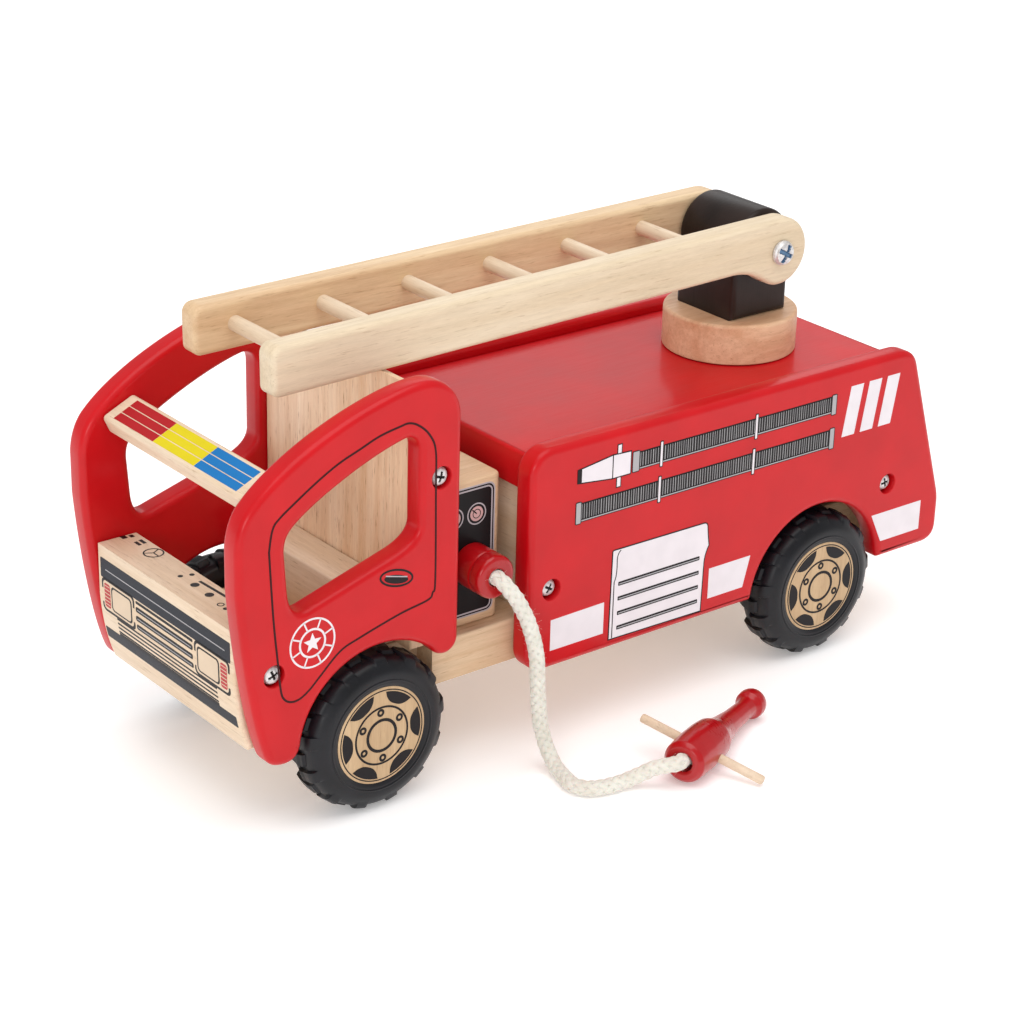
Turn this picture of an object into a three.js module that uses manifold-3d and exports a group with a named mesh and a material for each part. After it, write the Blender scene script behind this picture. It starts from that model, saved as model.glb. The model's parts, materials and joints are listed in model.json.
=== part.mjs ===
// A toy fire engine of plain and red-painted wood: flat side panels screwed to a wooden body, four
// rubber-tyred wheels on dowel axles, a ladder on a turntable, and a rope hose with a turned nozzle.
// Millimetres. +X is the nose, +Y the engine's left side, +Z up. The origin is on the flat underside of
// the chassis board, on the centre plane, midway between the axles. All heights below are measured from
// the ground, and the whole engine is lowered at the end to bring the chassis underside to Z = 0.
import * as THREE from 'three';
import { mergeVertices } from 'three/addons/utils/BufferGeometryUtils.js';
import Module from 'manifold-3d';

// ---- driving dimensions ----
const WHEELBASE = 220;
const AXLE_Z = 31;
const TYRE_RADIUS = 31;
const WHEEL_OUTER_Y = 60;
const WHEEL_INNER_Y = 42;
const HUB_RADIUS = 19.4;
const HUB_FACE_Y = 59.4;
const AXLE_RADIUS = 4;

const PANEL_OUTER_Y = 57.5;
const PANEL_INNER_Y = 47.5;
const PANEL_EDGE = 2.6;
const CORE_HALF_WIDTH = 47.2;

const CHASSIS_BOTTOM = 36.3;
const CHASSIS_TOP = 54;
const CHASSIS_FRONT_X = 78.6;
const HOUSING_DEPTH = 2;
const AXLE_BLOCK_HALF_LENGTH = 14;
const CHASSIS_REAR_X = -172;
const TONGUE_HALF_WIDTH = 38;

const ROOF_TOP = 119.5;
const ROOF_THICKNESS = 15;
const ROOF_FRONT_X = 37;
const ROOF_REAR_X = -154;

const BACK_WALL_REAR_X = 76;
const BACK_WALL_FRONT_X = 88.7;
const BACK_WALL_TOP = 157.4;
const SEAT_FRONT_X = 106;
const SEAT_TOP = 78;
const GRILLE_REAR_X = 148;
const GRILLE_FRONT_X = 164.3;
const GRILLE_TOP = 82.5;
const GRILLE_BOTTOM = 34.5;

const TURNTABLE_X = -106.5;
const DISC_RADIUS = 27.4;
const DISC_TOP = 136.5;
const PIVOT_Z = 166;
const TURRET_HALF_DEPTH = 15;
const TURRET_HALF_WIDTH = 17;
const LADDER_REST_TILT = THREE.MathUtils.degToRad(0.9);
const LADDER_REACH = 242.6;
const RAIL_THICKNESS = 10;
const RAIL_ABOVE_PIVOT = 13.8;
const RAIL_BELOW_PIVOT = 5.2;
const RAIL_INNER_Y = 17.5;
const RAIL_SPLAY = THREE.MathUtils.degToRad(0.7);
const RUNG_RADIUS = 3;
const RUNG_COUNT = 6;
const FIRST_RUNG = 34.5;
const RUNG_PITCH = 38.2;
const RUNG_HEIGHT = 4.8;
const PIVOT_BOLT_RADIUS = 2.5;

const SCREW_HEAD_RADIUS = 3.25;
const SCREW_SHANK_RADIUS = 1.5;
const COUNTERBORE_DEPTH = 3;
const COUNTERBORE_RADIUS = 4.3;
const SCREW_LENGTH = 24;

const OUTLET_X = 57.5;
const OUTLET_Z = 79;
const ROPE_RADIUS = 3;
const JOINT_GAP = 0.3;
const HALF_TURN = Math.PI;
const RIGHT_ANGLE = Math.PI / 2;

const RED = { color: 0xb3262b, roughness: 0.35, metalness: 0 };
const WOOD = { color: 0xd9b48c, roughness: 0.6, metalness: 0 };
const BLACK_BROWN = { color: 0x2e2422, roughness: 0.5, metalness: 0 };
const RUBBER = { color: 0x3a3a3c, roughness: 0.85, metalness: 0 };
const ROPE = { color: 0xe6dfd0, roughness: 0.95, metalness: 0 };
const ZINC = { color: 0xb9bcc0, roughness: 0.35, metalness: 1 };

// ---- solids: joining and cutting ----
const wasm = await Module();
wasm.setup();

// Points closer than a micrometre are one point, and triangles that shrink to nothing are dropped.
function toSolid(geometry) {
  const bare = geometry.clone();
  bare.deleteAttribute('normal');
  bare.deleteAttribute('uv');
  const merged = mergeVertices(bare, 1e-3);
  const corners = Array.from(merged.index.array);
  const triangles = [];
  for (let i = 0; i < corners.length; i += 3) {
    const [a, b, c] = corners.slice(i, i + 3);
    if (a !== b && b !== c && c !== a) {
      triangles.push(a, b, c);
    }
  }
  return new wasm.Manifold(new wasm.Mesh({
    numProp: 3,
    vertProperties: merged.attributes.position.array,
    triVerts: Uint32Array.from(triangles),
  }));
}

function toGeometry(solid) {
  const mesh = solid.getMesh();
  const geometry = new THREE.BufferGeometry();
  geometry.setAttribute('position', new THREE.BufferAttribute(mesh.vertProperties, 3));
  geometry.setIndex(new THREE.BufferAttribute(mesh.triVerts, 1));
  return geometry;
}

function cut(geometry, tools) {
  return toGeometry(tools.reduce((solid, tool) => solid.subtract(toSolid(tool)), toSolid(geometry)));
}

// ---- shape helpers ----
// A board: an outline in X and Z, thickness along -Y from the plane Y = 0, long edges rounded.
function board(outline, thickness, edge, curveSegments = 3) {
  const geometry = new THREE.ExtrudeGeometry(outline, {
    depth: thickness - 2 * edge,
    bevelEnabled: true,
    bevelThickness: edge,
    bevelSize: edge,
    bevelOffset: -edge,
    bevelSegments: edge > 2 ? 2 : 1,
    curveSegments,
  });
  return geometry.translate(0, 0, edge).rotateX(RIGHT_ANGLE);
}

// A board lying flat: an outline in X and Y, thickness upwards from Z = bottom.
function flatBoard(outline, bottom, thickness, edge) {
  return board(outline, thickness, edge).rotateX(-RIGHT_ANGLE).translate(0, 0, bottom);
}

function rectangle(x0, y0, x1, y1, radius = 0) {
  const shape = new THREE.Shape();
  if (radius === 0) {
    return shape.moveTo(x0, y0).lineTo(x1, y0).lineTo(x1, y1).lineTo(x0, y1).closePath();
  }
  shape.absarc(x1 - radius, y1 - radius, radius, 0, RIGHT_ANGLE);
  shape.absarc(x0 + radius, y1 - radius, radius, RIGHT_ANGLE, HALF_TURN);
  shape.absarc(x0 + radius, y0 + radius, radius, HALF_TURN, 3 * RIGHT_ANGLE);
  shape.absarc(x1 - radius, y0 + radius, radius, 3 * RIGHT_ANGLE, 4 * RIGHT_ANGLE);
  return shape;
}

// A cylinder along Y from y0 to y1.
function rod(radius, x, z, y0, y1, segments = 24) {
  const geometry = new THREE.CylinderGeometry(radius, radius, Math.abs(y1 - y0), segments);
  return geometry.translate(x, (y0 + y1) / 2, z);
}

// A turned piece: profile points are [radius, distance along +Y].
function turned(profile, segments) {
  const points = profile.map(([radius, along]) => new THREE.Vector2(radius, along));
  return new THREE.LatheGeometry(points, segments);
}

function addMesh(parent, name, geometry, finish) {
  const mesh = new THREE.Mesh(geometry, new THREE.MeshStandardMaterial(finish));
  mesh.name = name;
  parent.add(mesh);
  return mesh;
}

// ---- side panels ----
const SIDES = [
  { name: 'left', side: 1 },
  { name: 'right', side: -1 },
];

// Screw places in X and Z: the first pair on the cab side, the second on the body side.
const CAB_SCREWS = [[83, 124.9], [154.5, 67.1]];
const BODY_SCREWS = [[30.9, 66.9], [-147, 66.9]];
const ALL_SCREWS = [...CAB_SCREWS, ...BODY_SCREWS];

function cabOutline() {
  const outline = new THREE.Shape();
  outline.moveTo(74, 60);
  outline.lineTo(74, 146.5);
  outline.absarc(90, 146.5, 16, HALF_TURN, RIGHT_ANGLE, true);
  outline.bezierCurveTo(107, 162.8, 146, 149.5, 163, 132);
  outline.bezierCurveTo(166.2, 128.7, 168.6, 123.5, 169, 117);
  outline.lineTo(169, 101);
  outline.bezierCurveTo(167.5, 80, 163, 48, 157.5, 34.5);
  outline.quadraticCurveTo(155.8, 30.5, 150, 30.5);
  outline.quadraticCurveTo(144, 30.5, 142.9, 37);
  outline.absarc(108.5, 31, 35, 0.175, 2.27, false);
  outline.quadraticCurveTo(83.5, 54, 80, 54);
  outline.absarc(80, 60, 6, -RIGHT_ANGLE, -HALF_TURN, true);
  return outline;
}

function cabWindow() {
  const opening = new THREE.Path();
  opening.moveTo(92.2, 136.5);
  opening.lineTo(92.2, 109);
  opening.quadraticCurveTo(92.2, 102.7, 103, 99.5);
  opening.lineTo(140, 88.6);
  opening.quadraticCurveTo(147.2, 86.5, 148, 98);
  opening.lineTo(149, 112);
  opening.quadraticCurveTo(149.3, 117, 146.5, 120);
  opening.bezierCurveTo(140, 127, 114, 139.5, 98, 142.8);
  opening.quadraticCurveTo(92.2, 142.8, 92.2, 136.5);
  return opening;
}

function bodyOutline() {
  const archStart = 0.079;
  const outline = new THREE.Shape();
  outline.moveTo(42, 42.3);
  outline.lineTo(42, 114);
  outline.absarc(32, 114, 10, 0, RIGHT_ANGLE, false);
  outline.lineTo(-148, 124);
  outline.quadraticCurveTo(-157.3, 124, -159.5, 117);
  outline.lineTo(-178.6, 57);
  outline.quadraticCurveTo(-179.5, 54, -179.5, 51);
  outline.lineTo(-179.5, 42);
  outline.quadraticCurveTo(-179.5, 33.8, -171, 33.8);
  outline.absarc(-109, 31, 35.5, HALF_TURN - archStart, archStart, true);
  outline.lineTo(33.5, 33.8);
  outline.absarc(33.5, 42.3, 8.5, -RIGHT_ANGLE, 0, false);
  return outline;
}

// A stepped hole along Y for a pan-head screw whose head sits below the outer face.
function counterbore([x, z], side) {
  const outer = side * (PANEL_OUTER_Y + 1);
  const seat = side * (PANEL_OUTER_Y - COUNTERBORE_DEPTH);
  const inner = side * (PANEL_INNER_Y - 1);
  const head = toSolid(rod(COUNTERBORE_RADIUS, x, z, seat, outer, 16));
  const shank = toSolid(rod(SCREW_SHANK_RADIUS + JOINT_GAP, x, z, inner, outer, 8));
  return toGeometry(head.add(shank));
}

function sidePanel(outline, screws, side) {
  const outerFace = side > 0 ? PANEL_OUTER_Y : -PANEL_INNER_Y;
  const thickness = PANEL_OUTER_Y - PANEL_INNER_Y;
  const panel = board(outline, thickness, PANEL_EDGE, 7).translate(0, outerFace, 0);
  return cut(panel, screws.map((place) => counterbore(place, side)));
}

// The blind holes that the side screws bite into.
function pilotHoles(screws) {
  const tip = PANEL_OUTER_Y - COUNTERBORE_DEPTH - SCREW_LENGTH - 1;
  return screws.flatMap(([x, z]) => SIDES.map(({ side }) => (
    rod(SCREW_SHANK_RADIUS + 0.1, x, z, side * tip, side * (CORE_HALF_WIDTH + 1), 12))));
}

function panScrew(side) {
  const seat = PANEL_OUTER_Y - COUNTERBORE_DEPTH;
  const profile = [
    [0, seat - SCREW_LENGTH],
    [SCREW_SHANK_RADIUS, seat - SCREW_LENGTH + 3],
    [SCREW_SHANK_RADIUS, seat],
    [SCREW_HEAD_RADIUS, seat],
    [SCREW_HEAD_RADIUS, seat + 1.2],
    [SCREW_HEAD_RADIUS - 1, seat + 2.1],
    [0, seat + 2.4],
  ];
  const screw = turned(profile, 12);
  return side > 0 ? screw : screw.rotateZ(HALF_TURN);
}

function addSidePanels(engine) {
  for (const { name, side } of SIDES) {
    const cab = cabOutline();
    cab.holes.push(cabWindow());
    addMesh(engine, `cab_side_${name}`, sidePanel(cab, CAB_SCREWS, side), RED);
    addMesh(engine, `body_side_${name}`, sidePanel(bodyOutline(), BODY_SCREWS, side), RED);
    const places = ['cab_upper', 'cab_front', 'body_front', 'body_rear'];
    places.forEach((place, index) => {
      const screw = addMesh(engine, `screw_${place}_${name}`, panScrew(side), ZINC);
      screw.position.set(ALL_SCREWS[index][0], 0, ALL_SCREWS[index][1]);
    });
  }
}

// ---- the wooden core between the panels ----
// The chassis narrows between the wheels and runs forward as a tongue to the grille block.
function chassisOutline() {
  const wide = CORE_HALF_WIDTH;
  const narrow = TONGUE_HALF_WIDTH;
  const archFront = -WHEELBASE / 2 + 37;
  const archRear = -WHEELBASE / 2 - 37;
  const outline = new THREE.Shape();
  outline.moveTo(CHASSIS_REAR_X, -wide);
  outline.lineTo(archRear, -wide);
  outline.lineTo(archRear, -narrow);
  outline.lineTo(archFront, -narrow);
  outline.lineTo(archFront, -wide);
  outline.lineTo(CHASSIS_FRONT_X, -wide);
  outline.lineTo(CHASSIS_FRONT_X, -narrow);
  outline.lineTo(GRILLE_REAR_X, -narrow);
  outline.lineTo(GRILLE_REAR_X, narrow);
  outline.lineTo(CHASSIS_FRONT_X, narrow);
  outline.lineTo(CHASSIS_FRONT_X, wide);
  outline.lineTo(archFront, wide);
  outline.lineTo(archFront, narrow);
  outline.lineTo(archRear, narrow);
  outline.lineTo(archRear, wide);
  outline.lineTo(CHASSIS_REAR_X, wide);
  return outline;
}

function grilleOutline() {
  const outline = new THREE.Shape();
  outline.moveTo(GRILLE_REAR_X, GRILLE_BOTTOM);
  outline.lineTo(GRILLE_FRONT_X - 5.5, GRILLE_BOTTOM);
  outline.quadraticCurveTo(GRILLE_FRONT_X - 0.9, 46, GRILLE_FRONT_X, 62);
  outline.lineTo(GRILLE_FRONT_X, GRILLE_TOP);
  outline.lineTo(GRILLE_REAR_X, GRILLE_TOP);
  return outline;
}

function backWallOutline() {
  const outline = new THREE.Shape();
  outline.moveTo(BACK_WALL_REAR_X, CHASSIS_TOP);
  outline.lineTo(BACK_WALL_FRONT_X, CHASSIS_TOP);
  outline.lineTo(BACK_WALL_FRONT_X, BACK_WALL_TOP);
  outline.quadraticCurveTo(80, 155.5, BACK_WALL_REAR_X, 146.5);
  return outline;
}

// The light bar leans forwards: its top face runs from a high rear edge to a low front edge.
function lightBar() {
  const rearTop = new THREE.Vector2(146.4, 137.7);
  const lean = THREE.MathUtils.degToRad(-24.9);
  const bar = board(rectangle(0, -8, 15, 0, 1.5), 2 * (CORE_HALF_WIDTH - 0.2), 0.8);
  return bar.rotateY(-lean).translate(rearTop.x, CORE_HALF_WIDTH - 0.2, rearTop.y);
}

function coreBoard(outline, edge) {
  return board(outline, 2 * CORE_HALF_WIDTH, edge).translate(0, CORE_HALF_WIDTH, 0);
}

function hoseOutlet() {
  const profile = [
    [0, 42.2],
    [8.5, 42.2],
    [8.5, 51.2],
    [7.8, 52],
    [8.5, 52.8],
    [8.5, 56.6],
    [7.4, 58],
    [ROPE_RADIUS + JOINT_GAP, 58],
    [ROPE_RADIUS + JOINT_GAP, 48],
    [0, 48],
  ];
  return turned(profile, 24);
}

function addCore(engine) {
  const cabUpper = [CAB_SCREWS[0]];
  const cabFront = [CAB_SCREWS[1]];
  const bulkhead = rectangle(22.5, CHASSIS_TOP, 34.5, ROOF_TOP - ROOF_THICKNESS);
  const rearWall = rectangle(-153, CHASSIS_TOP, -141, ROOF_TOP - ROOF_THICKNESS);
  const roof = rectangle(ROOF_REAR_X, -CORE_HALF_WIDTH, ROOF_FRONT_X, CORE_HALF_WIDTH);
  const pump = rectangle(43.5, -42, 75, 42, 3.5);
  const roofBore = rod(3.2, TURNTABLE_X, 0, -50, 50).rotateX(RIGHT_ANGLE).translate(0, 0, ROOF_TOP);

  const chassis = flatBoard(chassisOutline(), CHASSIS_BOTTOM, CHASSIS_TOP - CHASSIS_BOTTOM, 0.8);
  addMesh(engine, 'chassis_board', cut(chassis, axleHousings()), WOOD);
  addMesh(engine, 'grille_block', cut(coreBoard(grilleOutline(), 1.6), pilotHoles(cabFront)), WOOD);
  addMesh(engine, 'cab_back_wall', cut(coreBoard(backWallOutline(), 0.8), pilotHoles(cabUpper)), WOOD);
  const seat = board(rectangle(BACK_WALL_FRONT_X + JOINT_GAP, CHASSIS_TOP, SEAT_FRONT_X, SEAT_TOP, 1),
    2 * TONGUE_HALF_WIDTH, 0.8);
  addMesh(engine, 'seat_board', seat.translate(0, TONGUE_HALF_WIDTH, 0), WOOD);
  addMesh(engine, 'light_bar', lightBar(), WOOD);
  addMesh(engine, 'bulkhead', cut(coreBoard(bulkhead, 0.8), pilotHoles([BODY_SCREWS[0]])), WOOD);
  addMesh(engine, 'rear_wall', cut(coreBoard(rearWall, 0.8), pilotHoles([BODY_SCREWS[1]])), WOOD);
  addMesh(engine, 'pump_block', flatBoard(pump, CHASSIS_TOP, 58.5, 1), WOOD);
  addMesh(engine, 'roof_board', cut(flatBoard(roof, ROOF_TOP - ROOF_THICKNESS, ROOF_THICKNESS, 1.2),
    [roofBore]), RED);
  const outlet = addMesh(engine, 'hose_outlet', hoseOutlet(), RED);
  outlet.position.set(OUTLET_X, 0, OUTLET_Z);
}

// ---- wheels ----
function tyreProfile() {
  return [
    [HUB_RADIUS + 0.1, WHEEL_INNER_Y],
    [TYRE_RADIUS - 2.5, WHEEL_INNER_Y],
    [TYRE_RADIUS, WHEEL_INNER_Y + 2.5],
    [TYRE_RADIUS, WHEEL_OUTER_Y - 4.5],
    [TYRE_RADIUS - 1.2, WHEEL_OUTER_Y - 1.8],
    [TYRE_RADIUS - 4, WHEEL_OUTER_Y],
    [HUB_RADIUS + 0.1, WHEEL_OUTER_Y],
    [HUB_RADIUS + 0.1, WHEEL_INNER_Y],
  ];
}

function hubProfile() {
  const bore = AXLE_RADIUS + 0.1;
  return [
    [bore, 44.5],
    [HUB_RADIUS, 44.5],
    [HUB_RADIUS, HUB_FACE_Y - 0.9],
    [HUB_RADIUS - 0.9, HUB_FACE_Y],
    [0, HUB_FACE_Y],
    [0, 55.2],
    [bore, 55.2],
    [bore, 44.5],
  ];
}

// The shallow housings across the chassis underside that the axle blocks are glued into.
function axleHousings() {
  return [WHEELBASE / 2, -WHEELBASE / 2].map((x) => {
    const groove = new THREE.BoxGeometry(2 * AXLE_BLOCK_HALF_LENGTH, 120, 2 * HOUSING_DEPTH);
    return groove.translate(x, 0, CHASSIS_BOTTOM);
  });
}

// An axle block; the axle turns in its bore.
function axleBlock(x) {
  const length = AXLE_BLOCK_HALF_LENGTH;
  const block = rectangle(x - length, 22, x + length, CHASSIS_BOTTOM + HOUSING_DEPTH);
  const half = TONGUE_HALF_WIDTH - 3;
  const body = board(block, 2 * half, 0.8).translate(0, half, 0);
  return cut(body, [rod(AXLE_RADIUS + 0.5, x, AXLE_Z, -half - 1, half + 1)]);
}

function addWheels(engine) {
  for (const [end, x] of [['front', WHEELBASE / 2], ['rear', -WHEELBASE / 2]]) {
    addMesh(engine, `${end}_axle_block`, axleBlock(x), WOOD);
    const wheelset = new THREE.Group();
    wheelset.position.set(x, 0, AXLE_Z);
    engine.add(wheelset);
    addMesh(wheelset, `${end}_axle`, rod(AXLE_RADIUS, 0, 0, -55, 55), WOOD);
    for (const { name, side } of SIDES) {
      const turn = side > 0 ? 0 : HALF_TURN;
      const tyre = addMesh(wheelset, `tyre_${end}_${name}`, turned(tyreProfile(), 40), RUBBER);
      const hub = addMesh(wheelset, `hub_${end}_${name}`, turned(hubProfile(), 28), WOOD);
      tyre.rotation.z = turn;
      hub.rotation.z = turn;
    }
  }
}

// ---- turntable and ladder ----
function turretOutline() {
  const outline = new THREE.Shape();
  outline.moveTo(TURRET_HALF_DEPTH, DISC_TOP - PIVOT_Z);
  outline.lineTo(TURRET_HALF_DEPTH, 0);
  outline.absarc(0, 0, TURRET_HALF_DEPTH, 0, HALF_TURN, false);
  outline.lineTo(-TURRET_HALF_DEPTH, DISC_TOP - PIVOT_Z);
  return outline;
}

function addTurntable(engine) {
  const turntable = new THREE.Group();
  turntable.position.set(TURNTABLE_X, 0, 0);
  engine.add(turntable);
  const discBottom = ROOF_TOP + JOINT_GAP;
  const disc = turned([
    [2.7, discBottom],
    [DISC_RADIUS, discBottom],
    [DISC_RADIUS, DISC_TOP - 1.5],
    [DISC_RADIUS - 1.5, DISC_TOP],
    [0, DISC_TOP],
    [0, DISC_TOP - 4],
    [2.7, DISC_TOP - 4],
    [2.7, discBottom],
  ], 40).rotateX(RIGHT_ANGLE);
  addMesh(turntable, 'turntable_disc', disc, WOOD);

  const turretBore = rod(PIVOT_BOLT_RADIUS + JOINT_GAP, 0, 0, -20, 20);
  const turret = board(turretOutline(), 2 * TURRET_HALF_WIDTH, 2, 8).translate(0, TURRET_HALF_WIDTH, 0);
  const turretMesh = addMesh(turntable, 'turret_block', cut(turret, [turretBore]), BLACK_BROWN);
  turretMesh.position.z = PIVOT_Z;

  // The screw holds the disc down through the roof; its head turns on a washer under the roof.
  const roofBottom = ROOF_TOP - ROOF_THICKNESS;
  const screwSeat = roofBottom - JOINT_GAP - 1.2 - 0.1;
  const swivelScrew = turned([
    [0, screwSeat - 3],
    [5, screwSeat - 2.2],
    [5, screwSeat],
    [2.5, screwSeat],
    [2.5, DISC_TOP - 6],
    [0, DISC_TOP - 4.5],
  ], 16).rotateX(RIGHT_ANGLE);
  addMesh(turntable, 'turntable_screw', swivelScrew, ZINC);
  const washer = turned([
    [2.7, roofBottom - JOINT_GAP - 1.2],
    [7, roofBottom - JOINT_GAP - 1.2],
    [7, roofBottom - JOINT_GAP],
    [2.7, roofBottom - JOINT_GAP],
    [2.7, roofBottom - JOINT_GAP - 1.2],
  ], 16).rotateX(RIGHT_ANGLE);
  addMesh(turntable, 'turntable_washer', washer, ZINC);
  return turntable;
}

// The rail's outline with the pivot at the origin: a round rear end whose lower lobe sweeps up into the
// straight underside, and a square front end with round corners.
function railOutline() {
  const topCorner = 7.5;
  const lowerCorner = 5;
  const front = LADDER_REACH;
  const top = RAIL_ABOVE_PIVOT;
  const under = -RAIL_BELOW_PIVOT;
  const outline = new THREE.Shape();
  outline.absarc(0, 0, top, RIGHT_ANGLE, 3 * RIGHT_ANGLE + 0.1, false);
  outline.bezierCurveTo(8, -13.5, 12, under, 26, under);
  outline.absarc(front - lowerCorner, under + lowerCorner, lowerCorner, -RIGHT_ANGLE, 0, false);
  outline.absarc(front - topCorner, top - topCorner, topCorner, 0, RIGHT_ANGLE, false);
  return outline;
}

function rungPlaces() {
  return Array.from({ length: RUNG_COUNT }, (_, index) => FIRST_RUNG + index * RUNG_PITCH);
}

// The half distance between the rails' inner faces, at a distance along the ladder.
function innerHalfWidth(along) {
  return RAIL_INNER_Y + along * Math.tan(RAIL_SPLAY);
}

function ladderRail(side) {
  const offset = side > 0 ? RAIL_INNER_Y + RAIL_THICKNESS : -RAIL_INNER_Y;
  const rail = board(railOutline(), RAIL_THICKNESS, 2, 6).translate(0, offset, 0);
  rail.rotateZ(side * RAIL_SPLAY);
  const sockets = rungPlaces().map((along) => (
    rod(RUNG_RADIUS + 0.15, along, RUNG_HEIGHT, 0, side * (innerHalfWidth(along) + 5), 12)));
  const pivotHole = rod(PIVOT_BOLT_RADIUS + JOINT_GAP, 0, 0, 0, side * 40);
  return cut(rail, [...sockets, pivotHole]);
}

function addLadder(turntable) {
  const ladder = new THREE.Group();
  ladder.position.set(0, 0, PIVOT_Z);
  ladder.rotation.y = LADDER_REST_TILT;
  turntable.add(ladder);
  for (const { name, side } of SIDES) {
    addMesh(ladder, `ladder_rail_${name}`, ladderRail(side), WOOD);
  }
  rungPlaces().forEach((along, index) => {
    const half = innerHalfWidth(along) + 4.5;
    addMesh(ladder, `ladder_rung_${index + 1}`, rod(RUNG_RADIUS, along, RUNG_HEIGHT, -half, half, 12), WOOD);
  });

  // The pivot bolt crosses the turret and both rails; its head is on the left.
  const outerFace = RAIL_INNER_Y + RAIL_THICKNESS + JOINT_GAP;
  const bolt = turned([
    [0, -outerFace - 7],
    [PIVOT_BOLT_RADIUS, -outerFace - 6.5],
    [PIVOT_BOLT_RADIUS, outerFace],
    [5, outerFace],
    [5, outerFace + 1.6],
    [3.8, outerFace + 2.6],
    [0, outerFace + 3.2],
  ], 16);
  const boltMesh = addMesh(turntable, 'ladder_pivot_bolt', bolt, ZINC);
  boltMesh.position.z = PIVOT_Z;
  const ring = (inner, outer, y0, y1, segments) => turned([
    [inner, y0],
    [outer, y0],
    [outer, y1],
    [inner, y1],
    [inner, y0],
  ], segments);
  const washerTop = -outerFace - 1.2;
  const washer = ring(PIVOT_BOLT_RADIUS + 0.1, 6, washerTop, -outerFace, 16);
  const nut = cut(rod(4.8, 0, 0, washerTop - 4, washerTop - 0.05, 6),
    [rod(PIVOT_BOLT_RADIUS + 0.1, 0, 0, washerTop - 5, 0)]);
  addMesh(turntable, 'ladder_pivot_washer', washer, ZINC).position.z = PIVOT_Z;
  addMesh(turntable, 'ladder_pivot_nut', nut, ZINC).position.z = PIVOT_Z;
}

// ---- rope hose ----
const OUTLET_BEND = new THREE.Vector3(OUTLET_X, 60, OUTLET_Z);
const FLOOR_BEND = new THREE.Vector3(43.4, 84.4, 3.1);
const NOZZLE_MOUTH = new THREE.Vector3(8.5, 110.1, 9.6);
const NOZZLE_LIP = new THREE.Vector3(-50, 85.3, 6.6);
const NOZZLE_BEND = new THREE.Vector3(11, 110.9, 10.9);
const PIN_NEAR_END = new THREE.Vector3(-16.1, 128.6, 2.6);
const PIN_FAR_END = new THREE.Vector3(3, 80.1, 14.3);
const PIN_RADIUS = 1.65;
const BEND_CLEARANCE = 2.7;

function ropeAlong(points, steps) {
  const section = new THREE.Shape();
  section.absarc(0, 0, ROPE_RADIUS, 0, 2 * HALF_TURN, false);
  return new THREE.ExtrudeGeometry(section, {
    steps,
    curveSegments: 5,
    bevelEnabled: false,
    extrudePath: new THREE.CatmullRomCurve3(points, false, 'centripetal'),
  });
}

function ball(centre, radius) {
  return new THREE.SphereGeometry(radius, 14, 10).translate(centre.x, centre.y, centre.z);
}

// A rope piece hinged to the piece before it at start and to the piece after it at end: it carries a
// ball at its end, and is hollowed to clear the ball of the piece before it.
function ropeBetween(start, end, middle, steps, lead) {
  const first = start.clone().addScaledVector(lead, BEND_CLEARANCE);
  const points = [first, ...middle, end];
  const rope = toSolid(ropeAlong(points, steps)).add(toSolid(ball(end, ROPE_RADIUS)));
  return toGeometry(rope.subtract(toSolid(ball(start, ROPE_RADIUS + JOINT_GAP))));
}

function nozzleProfile() {
  return [
    [4.7, 0],
    [7, 0],
    [7.9, 1.2],
    [8.1, 5],
    [7.6, 6],
    [8.5, 7],
    [8.7, 13],
    [8.5, 22],
    [8, 27],
    [6.8, 31],
    [5.6, 35],
    [4.7, 41],
    [4, 54],
    [4.4, 60],
    [5.3, 61.6],
    [5.3, 65],
    [4.6, 66],
    [2.4, 66],
    [2.4, 48],
    [0, 48],
    [0, 13],
    [4.7, 13],
    [4.7, 0],
  ];
}

function pinProfile(length) {
  return [
    [0, 0],
    [PIN_RADIUS - 0.4, 0],
    [PIN_RADIUS, 0.4],
    [PIN_RADIUS, length - 0.4],
    [PIN_RADIUS - 0.4, length],
    [0, length],
  ];
}

// Turns a piece made along +Y so that it runs from start towards end.
function aim(geometry, start, end) {
  const up = new THREE.Vector3(0, 1, 0);
  const turn = new THREE.Quaternion().setFromUnitVectors(up, end.clone().sub(start).normalize());
  return geometry.applyQuaternion(turn).translate(start.x, start.y, start.z);
}

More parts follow.
